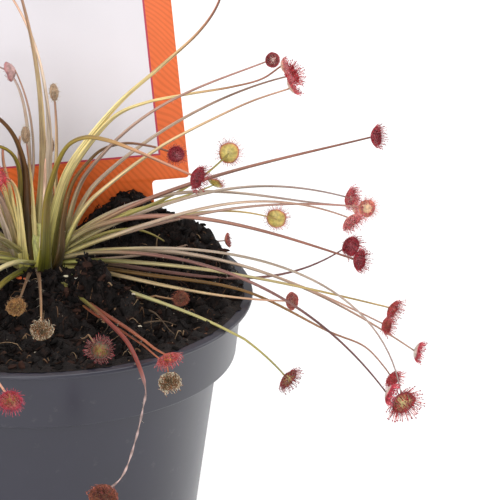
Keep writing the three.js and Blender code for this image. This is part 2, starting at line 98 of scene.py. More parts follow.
LEAVES = [
    # tall ones on the right
    leaf((39.5, 14, 140), 70, 66, "red", "red", "lemon", size=2.2, wide=1.05, seat=-80, roll=-60,
         via=((3.4, 2, 93.5), (6.5, 4, 101), (9.6, 6, 105.6), (17.6, 8, 115), (26, 10, 122),
              (34, 12, 129), (37.6, 13.3, 134))),
    leaf((51, 10, 122), 68, 27, "pale", "blush", "lemon", face=(0, 10), size=1.5, wide=1,
         seat=-50, roll=-50,
         via=((5.2, 4, 97), (11.3, 6, 106.4), (16.9, 7, 112.4), (22.7, 8, 114.7), (30.7, 9, 116.1),
              (40.7, 10, 117.5), (47, 10, 119.3))),
    leaf((48.8, 2, 126.2), 65, 23, "red", "ring", "rose", (0.55, 0.33), (-75, 15), 1.6, wide=0.95,
         seat=-30, roll=-30),
    leaf((52.9, 18, 117.2), 58, 8, "red", "red", "tan", (0.41, 0.23), (-35, 40), 2, wide=0.95,
         seat=20, roll=-30),
    leaf((52.7, 3, 119.8), 55, 31, "pale", "rosy", "cream", face=(10, 30), size=1.8, seat=-20,
         roll=-40,
         via=((7.6, 3, 91.4), (16.9, 3, 100), (26.7, 3, 107.4), (36.5, 3, 112.9), (45, 3, 117))),
    leaf((69.8, 0, 110.2), 36, 16, "red", "garnet", "brick", face=(-34, 12), size=1.9, wide=1.12,
         roll=-40),
    # the spreading ones on the right
    leaf((64.8, 4, 95.3), 27, -15, "red", "rosy", "taupe", (0.48, 0.34), (-35, 0), 1.9, wide=0.85),
    leaf((66, 13, 90), 37, -5, "pale", "blush", "taupe", (0.52, 0.35), size=1.7, wide=0.85,
         roll=-25),
    leaf((65, -9, 95.5), 20, -18, "pale", "blush", "tan", face=(-56, -28), size=2.1, wide=0.85),
    leaf((68.4, -2, 95.3), 20, -5, "pale", "apricot", "rose", face=(-72, 8), size=1.8, wide=0.85,
         roll=-30),
    leaf((65.1, 2, 85.4), 0, 38, "red", "garnet", "plum", face=(-65, 5), size=2, wide=0.85),
    leaf((66.5, -6, 85.4), 40, -16, "red", "garnet", "brick", face=(-40, 8), size=2, wide=1.05,
         roll=-30),
    leaf((73.6, -9, 75.8), 4, -10, "red", "ember", "ochre", face=(-42, -14), size=1.8, wide=0.85),
    leaf((72.7, 0, 68.4), 13, -27, "red", "ember", "tan", face=(-45, 5), size=1.6, wide=0.85),
    leaf((79.2, 6, 60), 10, -36, "red", "whiteback", "tan", face=(-5, -15), size=1.9, wide=0.85),
    leaf((75.8, -17, 58.3), 16, -84, "red", "great", "taupe", (0.53, 0.35), (-70, -8), 2.5,
         wide=0.66),
    leaf((74, -7, 59.3), -2, -60, "red", "red", "umber", face=(-60, -10), size=1.6, wide=0.8,
         via=((22, 0, 79.8), (43.5, -4.5, 77.7), (60.9, -7, 69.7), (68.2, -7.5, 66.6),
              (72.3, -7.5, 62))),
    leaf((72.4, -26, 64.3), 18, -50, "red", "whiteback", "plum", face=(-15, -18), size=2,
         wide=0.78),
    leaf((52.6, -9, 77.5), -4, 4, "red", "shut", "cream", face=(-40, 15), size=1.9, wide=0.9),
    leaf((39.4, 17, 80.6), 2, -2, "red", "shut", "tan", face=(-8, 12), size=1.6, wide=0.7, sink=2),
    # behind, on the right, with their green backs to the front
    leaf((50, 26, 82), 8, -25, "green", "lime", "ochre", face=(85, -8), size=2.1, wide=0.8),
    leaf((40, 23, 98), 26, 40, "green", "lime", "olive", face=(84, -16), size=2.2, wide=0.85),
    leaf((37, 26, 90), 30, 12, "green", "lime", "olive", face=(60, 35), size=1.6, wide=0.8),
    # arching over the middle
    leaf((33.2, -5, 103.4), 84, -30, "red", "garnet", "arch", face=(-42, -4), size=2.2, seat=-70,
         wide=1.3,
         via=((1.4, -1.5, 88), (2.5, -2, 96.7), (3.7, -2, 101.4), (5.1, -2.5, 105.8),
              (7.4, -3, 109.7), (10.8, -3, 111.2), (15, -3.5, 110.8), (20, -4, 109.1),
              (25.2, -4.5, 106.9))),
    leaf((29, 8, 103.5), 80, -20, "red", "garnet", "umber", face=(-80, 5), size=1.7, seat=-40,
         via=((3, 2, 87.7), (4.8, 3, 92.9), (7.4, 4, 98.2), (10.5, 5, 102.3), (13.7, 6, 105.1),
              (18.5, 7, 106.2), (23.5, 7.6, 105.4))),
    # low, in front
    leaf((52, -30, 69.2), -1, -38, "green", "lemon", "moss", (0.4, 0.3), (-46, -20), 2.1, wide=0.85,
         sink=1.5),
    leaf((28.1, -45.5, 80.4), 0, -12, "red", "tawny", "rust", face=(-65, -36), size=2.1, wide=0.85,
         via=((10, -12, 80), (19.5, -28, 79.8), (24.6, -38.5, 79.8)), sink=1),
    leaf((28.2, -40.5, 73.4), 0, -60, "dry", "bleached_and_highlit", "rust", face=(-80, -8), size=2.2, wide=0.6,
         via=((10, -12, 79.2), (19.5, -28, 78.9), (25.2, -37.6, 77.8), (27.8, -40, 76.2)), sink=1),
    leaf((15.3, -52, 53.6), 0, -60, "dry", "russet", "thread", face=(-95, -8), size=2.8, wide=0.8,
         via=((10, -13, 80.3), (15.6, -26, 80.8), (20.5, -37, 79.3), (23.4, -43.2, 72.9),
              (23, -44.6, 70), (21.5, -47, 63.3), (18.7, -50, 56.3)), sink=1),
    leaf((14.4, -38.5, 79), 0, 0, "red", "bristle", "dead", face=(-88, 38), size=1.9, wide=0.7,
         sink=6),
    leaf((-3, -52, 74), 8, -45, "red", "crimson", "arch", face=(-85, -5), size=2.2, wide=0.9,
         via=((-6, -8, 81.5), (-10, -24, 81), (-9.5, -40, 79.6), (-7, -46.5, 77.8))),
    leaf((-3.2, -18, 79.6), 5, -10, "dry", "straw", "dead", face=(-95, 45), size=2),
    leaf((2.3, -29.4, 79), 5, -5, "dry", "bleached_and_highlit", "dead", face=(-85, 50), size=2.2),
    leaf((30.3, -10.5, 78.4), -2, 5, "dry", "russet", "dead", face=(-100, 40), size=1.6, sink=2.5),
    # upright ones over the crown
    leaf((-3.4, 1, 145.5), 98, 70, "red", "red", "cream", face=(-90, 60), wide=1.15, seat=-95),
    leaf((-9, 5, 146), 98, 50, "pale", "blush", "pink", face=(-60, 70), seat=-20, wide=1.05),
    leaf((-4.2, 6, 122.5), 84, 64, "red", "folded", "tan", face=(170, -20), seat=-150, wide=0.8),
    leaf((-9, 15, 120), 78, -12, "pale", "folded", "taupe", face=(180, -35), seat=150, wide=0.8),
    leaf((-7, -10, 105), 60, 10, "red", "red", "lemon", face=(-95, 12), size=1.8, seat=-120),
    leaf((-26, 4, 113), 72, -18, "red", "garnet", "dusk", (0.26, 0.81), seat=-110, wide=1.3),
    leaf((-28, -4, 102), 73, -23, "pale", "blush", "arch", (0.51, 1.06), seat=-140),
    leaf((4.2, 4, 118.2), 74, 95, "bud", None, "cream", seat=30, wide=1.1),
    leaf((-1.6, 1, 110), 95, 85, "bud", None, "lemon", seat=-100, wide=0.6),
    leaf((3, 7, 105.4), 85, 90, "bud", None, "cream", seat=30, wide=0.6),
    leaf((26.4, 14, 81.6), 14, -40, "bare", None, "olive", (0.5, 0.4), wide=0.9),
    leaf((-7.5, 4, 113), 80, 112, "bare", None, "lemon", wide=1.3, seat=-135),
    leaf((-7.2, 0, 101), 80, 112, "bare", None, "pink", wide=1.2, seat=-150),
    leaf((-6.4, 3, 107), 92, 96, "bare", None, "lemon", wide=1.5, seat=-150),
    leaf((-3, 6, 108), 92, 100, "bare", None, "pink", wide=1.5, seat=-120),
    leaf((2.3, 5, 103.6), 90, 86, "bare", None, "pink", wide=1.6, seat=-60),
]
TRAPLESS = {"bud", "bare"}  # kinds of leaf that have no trap yet, and so no mood

# The left half of the rosette: tiers of leaves at even headings, each moved a little.
Tier = namedtuple("Tier", "count start end reach height rise fall")
TIERS = [
    Tier(3, 163, 222, 42, 116, 72, 20),
    Tier(4, 153, 236, 62, 99, 40, -12),
    Tier(4, 166, 254, 66, 82, 20, -24),
    Tier(3, 172, 226, 64, 64, 18, -56),
]
TIER_HEADING, TIER_REACH, TIER_HEIGHT = 5, 5, 4  # how far a leaf of a tier may be moved
TIER_STALKS = ["tan", "rose", "taupe", "cream", "plum", "ochre"]
TIER_MOODS = {"red": ["red", "garnet", "ember", "great"], "pale": ["blush", "apricot", "rosy"]}
SEED = 11


# ---- Colours ----

def tone(code):
    """A colour written as six hex digits, as linear red, green and blue."""
    parts = [int(code[i:i + 2], 16) / 255 for i in (0, 2, 4)]
    return np.array([c / 12.92 if c < 0.04045 else ((c + 0.055) / 1.055) ** 2.4 for c in parts])


# A stalk's colours at its root, middle and tip.
STALK_TONES = {
    "lemon": ("b4ac50", "ecd894", "a06854"),
    "cream": ("b0a85c", "c8b084", "a88068"),
    "pink": ("b4ac64", "d4c0aa", "d0a48c"),
    "olive": ("848038", "9b9450", "8c8040"),
    "ochre": ("98964e", "a89c70", "a08444"),
    "moss": ("8c9060", "948e60", "8a8040"),
    "tan": ("a09658", "a89480", "94705e"),
    "brick": ("908858", "8c6454", "7c4c3c"),
    "taupe": ("a49a5c", "a0907e", "84706a"),
    "rose": ("a09458", "a08474", "986c60"),
    "plum": ("8c805c", "745048", "583030"),
    "arch": ("585a10", "7c6c20", "b8846c"),
    "umber": ("443814", "6c4e20", "7c5644"),
    "dusk": ("463c08", "583810", "804c30"),
    "rust": ("5c5824", "703622", "8c4e32"),
    "thread": ("5c5824", "68281e", "8c7874"),
    "dead": ("4c3c2c", "745840", "8c6c4c"),
}


# ---- Sizes and colours a user may change ----

def length(name, description, millimetres):
    return FloatProperty(name=name, description=description, default=millimetres * MM,
                         min=0, unit="LENGTH", subtype="DISTANCE", precision=5)


def colour(name, description, code):
    return FloatVectorProperty(name=name, description=description, default=tuple(tone(code)),
                               min=0, max=1, size=3, subtype="COLOR")


def share_of(name, description, value, low, high):
    return FloatProperty(name=name, description=description, default=value, min=low, max=high,
                         subtype="FACTOR")


def count(name, description, value, low=0):
    return IntProperty(name=name, description=description, default=value, min=low)


class PotSettings(bpy.types.PropertyGroup):
    height: length("Height", "Height of the pot", 76)
    lip_radius: length("Lip radius", "Outer radius of the lip", 45)
    lip_thickness: length("Lip thickness", "Thickness of the lip", 0.9)
    collar_top: length("Collar top", "Outer radius of the collar under the lip", 42.8)
    collar_bottom: length("Collar bottom", "Outer radius of the collar's foot", 41.4)
    collar_height: length("Collar height", "Height of the collar", 12)
    body_top: length("Body top", "Outer radius of the body under the collar", 37.9)
    base_radius: length("Base radius", "Outer radius at the foot", 29.2)
    wall: length("Wall", "Thickness of the wall", 1.2)
    floor: length("Floor", "Thickness of the floor", 1.6)
    rounding: length("Rounding", "Radius of the moulded edges", 0.42)
    drain_radius: length("Drain radius", "Radius of a drain hole", 2.5)
    drain_circle: length("Drain circle", "Radius of the ring of drain holes", 18)
    drains: count("Drains", "Number of drain holes", 6)
    plastic: colour("Plastic", "Colour of the moulded plastic", "22212e")


class SoilSettings(bpy.types.PropertyGroup):
    rim_level: length("Rim level", "Height of the soil at the pot's wall", 75.3)
    clump: length("Clump", "Width of the larger lumps", 4.2)
    crumbs: count("Crumbs", "Number of loose crumbs", 3600)
    fibres: count("Fibres", "Number of root fibres", 1500)
    peat: colour("Peat", "Colour of the wet peat", "1c1412")


class LabelSettings(bpy.types.PropertyGroup):
    thickness: length("Thickness", "Thickness of the card", 0.8)
    head_width: length("Head width", "Width of the label's head", 59)
    head_height: length("Head height", "Height of the label's head", 60)
    neck_width: length("Neck width", "Width below the head", 43)
    neck_depth: length("Neck depth", "Length of the neck", 9)
    stake_depth: length("Stake depth", "Length of the tapered stake", 34)
    corner: length("Corner", "Radius of the corners", 0.9)
    border: length("Border", "Width of the coloured border", 5.8)
    border_colour: colour("Border colour", "Colour of the border", "d6652e")
    panel_colour: colour("Panel colour", "Colour of the bare panel", "d5d1d6")


class StalkSettings(bpy.types.PropertyGroup):
    root_width: length("Root width", "Width where a stalk leaves the crown", 3.5)
    middle_width: length("Middle width", "Width above the sheath", 1.95)
    tip_width: length("Tip width", "Width at the trap", 0.44)
    root_thickness: length("Root thickness", "Thickness at the crown", 1.3)
    tip_thickness: length("Tip thickness", "Thickness at the trap", 0.38)
    steps: count("Steps", "Sections along a stalk", 42, 8)


class TrapSettings(bpy.types.PropertyGroup):
    rim_length: share_of("Rim length", "Rim tentacles, as a share of the trap's radius",
                         0.6, 0.1, 1.5)
    face_length: share_of("Face length", "Face tentacles, as a share of the trap's radius",
                          0.34, 0.05, 1)
    rim_count: count("Rim count", "Tentacles in each rim row", 58, 6)
    face_count: count("Face count", "Tentacles on the face", 60)


class StageSettings(bpy.types.PropertyGroup):
    lens: FloatProperty(name="Lens", description="Focal length in millimetres", default=348, min=20)
    distance: length("Distance", "From the camera to what it looks at", 1000)
    elevation: FloatProperty(name="Elevation", description="Camera's height above the horizon",
                             default=math.radians(21.74), subtype="ANGLE", unit="ROTATION")
    world: FloatProperty(name="World", description="Brightness of the surroundings",
                         default=0.62, min=0)
    key: FloatProperty(name="Key", description="Power of the main softbox", default=11, min=0)


SETTINGS = {
    "sundew_pot": PotSettings,
    "sundew_soil": SoilSettings,
    "sundew_label": LabelSettings,
    "sundew_stalks": StalkSettings,
    "sundew_traps": TrapSettings,
    "sundew_stage": StageSettings,
}


# ---- Node materials ----

class Nodes:
    """A material's node tree, with short calls to add nodes and link them."""

    def __init__(self, name):
        self.material = bpy.data.materials.new(name)
        self.material.use_nodes = True
        self.tree = self.material.node_tree
        self.shader = self.tree.nodes["Principled BSDF"]

    def add(self, kind, inputs=None, **settings):
        node = self.tree.nodes.new("ShaderNode" + kind)
        for key, value in settings.items():
            setattr(node, key, value)
        for key, value in (inputs or {}).items():
            self.put(node.inputs[key], value)
        return node

    def put(self, socket, value):
        if isinstance(value, bpy.types.NodeSocket):
            self.tree.links.new(value, socket)
        elif socket.type == "RGBA" and not isinstance(value, (int, float)) and len(value) == 3:
            socket.default_value = (*value, 1)
        else:
            socket.default_value = value

    def shade(self, **inputs):
        """Sets or links the shader's own sockets; a blank in a name is written as _."""
        for key, value in inputs.items():
            self.put(self.shader.inputs[key.replace("_", " ")], value)

    def math(self, operation, a, b=0.0, c=0.0):
        return self.add("Math", {0: a, 1: b, 2: c}, operation=operation).outputs[0]

    def noise(self, vector, scale, detail=3.0, roughness=0.55, distortion=0.0):
        node = self.add("TexNoise", {"Vector": vector, "Scale": scale, "Detail": detail,
                                     "Roughness": roughness, "Distortion": distortion})
        return node.outputs["Fac"]

    def scaled(self, vector, scale):
        return self.add("Mapping", {"Vector": vector, "Scale": scale}).outputs[0]

    def ramp(self, fac, stops):
        node = self.add("ValToRGB", {"Fac": fac})
        elements = node.color_ramp.elements
        while len(elements) < len(stops):
            elements.new(0.5)
        for element, (place, value) in zip(elements, stops):
            element.position = place
            element.color = (value,) * 3 + (1,) if isinstance(value, (int, float)) else (*value, 1)
        return node.outputs["Color"]

    def mix(self, fac, a, b, blend="MIX"):
        node = self.add("Mix", data_type="RGBA", blend_type=blend)
        for key, value in ((0, fac), (6, a), (7, b)):
            self.put(node.inputs[key], value)
        return node.outputs[2]

    def mottled(self, tint, fac, *stops):
        """The tint, made darker and lighter by a ramp over fac."""
        return self.mix(1.0, tint, self.ramp(fac, stops), "MULTIPLY")

    def bump(self, height, strength, distance):
        """A bump map; the distance is in mm."""
        inputs = {"Height": height, "Strength": strength, "Distance": distance * MM}
        return self.add("Bump", inputs).outputs[0]

    def objects(self):
        return self.add("TexCoord").outputs["Object"]

    def attribute(self, name, output):
        return self.add("Attribute", attribute_name=name).outputs[output]


def plastic_material(settings):
    n = Nodes("Pot plastic")
    place = n.objects()
    cloud = n.noise(place, 45, 4)
    grain = n.noise(n.scaled(place, (1, 1, 6)), 900, 2)
    rings = n.noise(n.scaled(place, (0.02, 0.02, 1)), 1400, 2)
    base = Vector(settings.plastic)
    body = n.ramp(cloud, [(0.3, base * 0.9), (0.7, base * 1.16)])
    dust = n.ramp(n.noise(place, 260, 5, 0.7), [(0.62, 0.0), (0.8, 1.0)])
    n.shade(Base_Color=n.mix(n.math("MULTIPLY", dust, 0.16), body, tone("8d8884")))
    n.shade(Roughness=n.math("ADD", n.math("MULTIPLY", cloud, 0.16), 0.36))
    n.shade(Specular_IOR_Level=0.4, Coat_Weight=0.3, Coat_Roughness=0.22)
    height = n.math("ADD", n.math("MULTIPLY", grain, 0.6), n.math("MULTIPLY", rings, 0.5))
    n.shade(Normal=n.bump(height, 0.12, 0.05))
    return n.material


def peat_material(settings):
    n = Nodes("Peat")
    place = n.objects()
    base = Vector(settings.peat)
    coarse = n.noise(place, 420, 6, 0.7)
    fine = n.noise(place, 1900, 4, 0.75)
    body = n.ramp(coarse, [(0.34, base * 0.2), (0.55, base * 0.8), (0.74, tone("32221b"))])
    light = n.ramp(fine, [(0.58, 0.0), (0.72, 1.0)])
    patches = n.ramp(n.noise(place, 160, 3), [(0.45, 0.1), (0.65, 0.55)])
    earth = n.mix(n.math("MULTIPLY", light, patches), body, tone("6a4c3c"))
    cells = n.add("TexVoronoi", {"Vector": place, "Scale": 620.0})
    grit = n.ramp(cells.outputs["Distance"], [(0.05, 1.0), (0.11, 0.0)])
    rare = n.ramp(n.noise(place, 210, 1), [(0.6, 0.0), (0.66, 1.0)])
    speck = n.math("MULTIPLY", grit, rare)
    n.shade(Base_Color=n.mix(speck, earth, tone("b5a794")))
    n.shade(Roughness=n.math("ADD", n.math("MULTIPLY", fine, 0.3), 0.5))
    n.shade(Specular_IOR_Level=0.22)
    height = n.math("ADD", coarse, n.math("MULTIPLY", fine, 0.5))
    n.shade(Normal=n.bump(height, 1.0, 1.0))
    return n.material


def fibre_material(name="Root fibre"):
    n = Nodes(name)
    tint = n.attribute("tint", "Color")
    grain = n.noise(n.objects(), 1500, 3)
    n.shade(Base_Color=n.mottled(tint, grain, (0.3, 0.55), (0.7, 1.2)))
    n.shade(Normal=n.bump(grain, 0.5, 0.15))
    n.shade(Roughness=0.85, Specular_IOR_Level=0.12)
    return n.material


def card_material(settings):
    """A glossy card: a bare panel, a thin dark line, and a border of fine wavy lines, with painted
    light that makes its lower part paler against the plants' shade.
    """
    n = Nodes("Label card")
    place = n.add("UVMap", uv_map="card").outputs[0]
    parts = n.add("SeparateXYZ", {0: place})
    across, up = parts.outputs[0], parts.outputs[1]
    half = settings.head_width / 2 - settings.border
    side = n.math("SUBTRACT", n.math("ABSOLUTE", across), half)
    low = n.math("SUBTRACT", settings.border, up)
    high = n.math("SUBTRACT", up, settings.head_height - settings.border)
    outside = n.math("MAXIMUM", side, n.math("MAXIMUM", low, high))
    in_border = n.math("GREATER_THAN", outside, 0.0)
    on_line = n.math("LESS_THAN", n.math("ABSOLUTE", outside), 0.2 * MM)
    wave = n.add("TexWave", {"Vector": place, "Scale": 420.0, "Distortion": 26.0, "Detail": 1.5,
                             "Detail Scale": 0.12, "Detail Roughness": 0.4},
                 wave_type="BANDS", bands_direction="DIAGONAL")
    lines = n.ramp(wave.outputs["Fac"], [(0.1, 0.0), (0.6, 1.0)])
    orange = Vector(settings.border_colour)
    print_tone = n.ramp(n.noise(place, 120, 3), [(0.3, orange * 0.93), (0.7, orange * 1.06)])
    border = n.mix(n.math("MULTIPLY_ADD", lines, -0.42, 0.42), print_tone, tone("b85020"))
    panel = n.ramp(n.noise(place, 40, 2), [(0.3, Vector(settings.panel_colour) * 0.97),
                                           (0.7, settings.panel_colour)])
    face = n.mix(in_border, panel, border)
    # painted light: the card is made up to a third paler towards its foot, against the shade of the
    # plants in front of it
    lift = n.math("DIVIDE", up, settings.head_height)
    lined = n.mix(on_line, face, tone("a8344c"))
    n.shade(Base_Color=n.mottled(lined, lift, (0.0, 1.32), (0.75, 1.0)))
    n.shade(Normal=n.bump(n.noise(place, 260, 2), 0.05, 0.1))
    n.shade(Roughness=0.38)
    return n.material


def stalk_material():
    """Leaf stalk: the tint along it, with lengthwise streaks and ribs, slightly translucent."""
    n = Nodes("Leaf stalk")
    tint = n.attribute("tint", "Color")
    strap = n.attribute("strap", "Vector")
    fine = n.noise(n.scaled(strap, (6.0, 6.0, 0.12)), 1, 3, 0.6)
    broad = n.noise(n.scaled(strap, (2.2, 2.2, 0.05)), 1, 2, 0.5)
    streak = n.math("MULTIPLY_ADD", fine, 0.55, n.math("MULTIPLY", broad, 0.45))
    blotch = n.noise(n.scaled(strap, (0.6, 0.6, 0.35)), 1, 3, 0.6)
    body = n.mottled(tint, streak, (0.36, 0.42), (0.5, 1.0), (0.63, 1.5))
    flush = n.math("MULTIPLY", n.ramp(blotch, [(0.45, 0.0), (0.75, 1.0)]), 0.22)
    n.shade(Base_Color=n.mix(flush, body, tone("7c4838")))
    n.shade(Roughness=n.math("ADD", n.math("MULTIPLY", streak, 0.25), 0.38))
    n.shade(Normal=n.bump(streak, 0.45, 0.12))
    n.shade(Subsurface_Weight=0.12, Subsurface_Radius=(1.0, 0.6, 0.25),
            Subsurface_Scale=0.6 * MM, Sheen_Weight=0.08, Sheen_Roughness=0.4,
            Specular_IOR_Level=0.35)
    return n.material


def trap_material(name, gloss):
    """Skin of the traps: the tint of each part, mottled, with light passing a little way in."""
    n = Nodes(name)
    tint = n.attribute("tint", "Color")
    mottle = n.noise(n.objects(), 1300, 3)
    n.shade(Base_Color=n.mottled(tint, mottle, (0.35, 0.62), (0.65, 1.25)))
    n.shade(Normal=n.bump(mottle, 0.3, 0.12))
    n.shade(Roughness=gloss, Subsurface_Weight=0.2, Subsurface_Radius=(1.0, 0.35, 0.25),
            Subsurface_Scale=0.5 * MM)
    return n.material


def gland_material():
    """The glands at the tentacles' ends, wet with slime."""
    n = Nodes("Wet gland")
    tint = n.attribute("tint", "Color")
    wet = n.noise(n.objects(), 2500, 2)
    n.shade(Base_Color=n.mottled(tint, wet, (0.3, 0.85), (0.7, 1.2)))
    n.shade(Roughness=0.2, Coat_Weight=0.8, Coat_Roughness=0.06)
    return n.material


# ---- Mesh helpers ----

def mesh_of(bm, name):
    """The bmesh as a mesh; the bmesh is freed."""
    mesh = bpy.data.meshes.new(name)
    bm.to_mesh(mesh)
    bm.free()
    return mesh


def linked(name, data):
    """A new object with this mesh, lamp or camera, in the scene."""
    obj = bpy.data.objects.new(name, data)
    bpy.context.scene.collection.objects.link(obj)
    return obj


def finished(bm, name, materials, node=None):
    """Turns a bmesh in millimetres into an object in metres that rides on the frame."""
    bm.transform(Matrix.Scale(MM, 4))
    mesh = mesh_of(bm, name)
    for material in materials:
        mesh.materials.append(material)
    obj = linked(name, mesh)
    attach(obj, "root")
    if node:
        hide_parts(node)
    return obj


def smooth(mesh, degrees=None):
    """Smooth shading, with the edges sharper than the given angle kept sharp."""
    mesh.shade_smooth()
    if degrees:
        mesh.set_sharp_from_angle(angle=math.radians(degrees))


def wire(bm, points):
    """A chain of edges through the points."""
    verts = [bm.verts.new(point) for point in points]
    for a, b in zip(verts, verts[1:]):
        bm.edges.new((a, b))
    return verts


def bevelled(bm, geom, offset, segments, affect="VERTICES"):
    bmesh.ops.bevel(bm, geom=geom, offset=offset, affect=affect, segments=segments, profile=0.5,
                    material=-1)


def spun(bm, steps):
    """Spins everything in the bmesh once round Z and closes it."""
    bmesh.ops.spin(bm, geom=bm.verts[:] + bm.edges[:], cent=(0, 0, 0), axis=(0, 0, 1),
                   dvec=(0, 0, 0), angle=math.tau, steps=steps, use_merge=True,
                   use_duplicate=False)
    bmesh.ops.remove_doubles(bm, verts=bm.verts[:], dist=MERGE)
    bmesh.ops.recalc_face_normals(bm, faces=bm.faces[:])


def swept(rings):
    """A closed tube through rings of points, as a new bmesh whose vertices run ring by ring."""
    bm = bmesh.new()
    bmesh.ops.create_circle(bm, cap_ends=True, segments=len(rings[0]), radius=1)
    face = bm.faces[:][0]
    order = []
    for ring in rings:
        if order:
            face = bmesh.ops.extrude_discrete_faces(bm, faces=[face])["faces"][0]
        for vert, point in zip(face.verts, ring):
            vert.co = point
            order.append(vert)
    bmesh.ops.holes_fill(bm, edges=[e for e in bm.edges if e.is_boundary])
    bmesh.ops.recalc_face_normals(bm, faces=bm.faces[:])
    return bm, order


class Bunch:
    """Many small bodies gathered into one mesh, with attributes for each of their points."""

    def __init__(self):
        self.bm = bmesh.new()
        self.values = {}

    def add(self, mesh, **values):
        self.bm.from_mesh(mesh)
        for name, rows in values.items():
            self.values.setdefault(name, []).append(np.asarray(rows, float))

    def take(self, bm, **values):
        """Adds a bmesh, which is freed."""
        mesh = mesh_of(bm, "part")
        self.add(mesh, **values)
        bpy.data.meshes.remove(mesh)

    def finish(self, name, materials, node=None):
        obj = finished(self.bm, name, materials, node)
        for key, rows in self.values.items():
            data = np.concatenate(rows)
            kind, field = "FLOAT_VECTOR", "vector"
            if key == "tint":
                kind, field = "FLOAT_COLOR", "color"
                data = np.hstack([data, np.ones((len(data), 1))])
            layer = obj.data.attributes.new(key, kind, "POINT")
            layer.data.foreach_set(field, data.ravel().astype(np.float32))
        smooth(obj.data)
        return obj


class Stamp:
    """A mesh that is added to a bunch many times, each time in its own place."""

    def __init__(self, mesh):
        self.mesh = mesh
        self.points = np.empty(len(mesh.vertices) * 3, np.float32)
        mesh.vertices.foreach_get("co", self.points)
        self.count = len(mesh.vertices)

    def add_to(self, bunch, matrix, **values):
        self.mesh.vertices.foreach_set("co", self.points)
        self.mesh.transform(matrix)
        bunch.add(self.mesh, **values)


def direction(heading, pitch):
    """The unit vector of a heading and a pitch in degrees."""
    heading, pitch = math.radians(heading), math.radians(pitch)
    return Vector((math.cos(heading) * math.cos(pitch), math.sin(heading) * math.cos(pitch),
                   math.sin(pitch)))


def smoothstep(value, low, high):
    share = min(max((value - low) / (high - low), 0), 1)
    return share * share * (3 - 2 * share)


def blend(a, b, share):
    return a * (1 - share) + b * share


# ---- Pot ----

POT_STEPS = 192
FOOT_CHAMFER = 0.8
DRILL_LENGTH = 6


def pot_profile(pot):
    """The pot's outline from the middle of its base, up the outside and down the inside."""
    height, wall, lip = pot.height / MM, pot.wall / MM, pot.lip_thickness / MM
    under_lip = height - lip
    foot = under_lip - pot.collar_height / MM
    base, floor = pot.base_radius / MM, pot.floor / MM
    collar_top, collar_bottom = pot.collar_top / MM, pot.collar_bottom / MM
    body = pot.body_top / MM
    return [
        (0, 0), (base - FOOT_CHAMFER, 0), (base, FOOT_CHAMFER), (body, foot),
        (collar_bottom, foot), (collar_top, under_lip), (pot.lip_radius / MM, under_lip),
        (pot.lip_radius / MM, height), (collar_top - wall, height),
        (collar_bottom - wall, foot + wall), (body - wall, foot + wall), (base - wall, floor),
        (0, floor),
    ]


def build_pot(settings):
    bm = bmesh.new()
    verts = wire(bm, [(radius, 0, z) for radius, z in pot_profile(settings)])
    bevelled(bm, verts[1:-1], settings.rounding / MM, 3)
    spun(bm, POT_STEPS)
    pot = finished(bm, "nursery_pot", [plastic_material(settings)], "pot")
    drill = bmesh.new()
    ring, radius = settings.drain_circle / MM, settings.drain_radius / MM
    for i in range(settings.drains):
        angle = i * math.tau / settings.drains
        place = Matrix.Translation((ring * math.cos(angle), ring * math.sin(angle), 1))
        bmesh.ops.create_cone(drill, cap_ends=True, segments=32, radius1=radius, radius2=radius,
                              depth=DRILL_LENGTH, matrix=place)
    drill.transform(Matrix.Scale(MM, 4))
    cutter = linked("drill", mesh_of(drill, "drill"))
    cut = pot.modifiers.new("Drains", "BOOLEAN")
    cut.operation, cut.solver, cut.object = "DIFFERENCE", "EXACT", cutter
    depsgraph = bpy.context.evaluated_depsgraph_get()
    spare = [cutter.data, pot.data]
    pot.data = bpy.data.meshes.new_from_object(pot.evaluated_get(depsgraph))
    pot.modifiers.clear()
    bpy.data.objects.remove(cutter)
    for mesh in spare:
        bpy.data.meshes.remove(mesh)
    pot.data.name = "nursery_pot"
    smooth(pot.data, 35)


# ---- Soil ----

Mound = namedtuple("Mound", "x y rise wide deep blunt", defaults=(1,))
MOUNDS = [
    Mound(0, 4, 3.4, 15, 12),  # round the crown
    Mound(18.8, 25, 12, 10.5, 7),  # the bank behind
    Mound(33, 20, 3.5, 8, 8),
    Mound(-13, 25, 9.5, 12, 8),
    Mound(36, 13, 4, 8, 10),
    Mound(3, -4, 3.6, 8, 7),
    Mound(11.4, -8.6, 8.2, 3.7, 4.4, 2),  # the clod in front of the crown
    Mound(17, -10.6, 5.2, 4.2, 4, 2),
    Mound(4.6, -14, 3.4, 4.6, 4, 2),
    Mound(-24, -12, 2.4, 9, 8),
]
SOIL_EDGE = 41.3
SPILL = 43.1  # how far the soil lies over the lip
SOIL_GAP = 0.3  # between the soil and the inside of the pot
LIP_GAP = 0.02
SOIL_SKIN = 0.05  # height of the soil's edge over the lip before it is shaped
SOIL_RINGS, SOIL_STEPS = 100, 360
RIPPLE, LUMP_RISE, GRIT_RISE = 0.45, 0.6, 0.9  # heights of the soil's waves, lumps and grit
BANK, BANK_START = 0.85, 37.5  # the soil's rise to the lip, and the radius where it begins
PEAT_SEED = 147  # of the noise that loosens the soil's top, which changes by the clock without one
RAGGED = ((0.4, 0.022), (1.3, 0.012))  # rates and shares of the noise in the soil's edge
LOOSE = ((0.5, 0.8), (1.1, 0.7), (2.4, 0.5))  # and of the noise that loosens its top


def lumps(x, y, clump):
    """Rounded lumps of several sizes, from about -1 to 1."""
    total = 0
    for share, weight in ((1, 0.75), (0.5, 0.5), (0.24, 0.32)):
        size = clump * share
        gap = noise.voronoi(Vector((x / size, y / size, share * 7)))[0][0]
        total += weight * (math.sqrt(max(0, 1 - (gap / 0.9) ** 2)) - 0.62) * 1.6
    return total


def grit(x, y):
    """Sharp small roughness, about -0.5 to 0.5."""
    return sum(noise.noise(Vector((x * rate, y * rate, rate))) * share
               for rate, share in ((0.55, 0.55), (1.3, 0.4), (2.9, 0.3)))


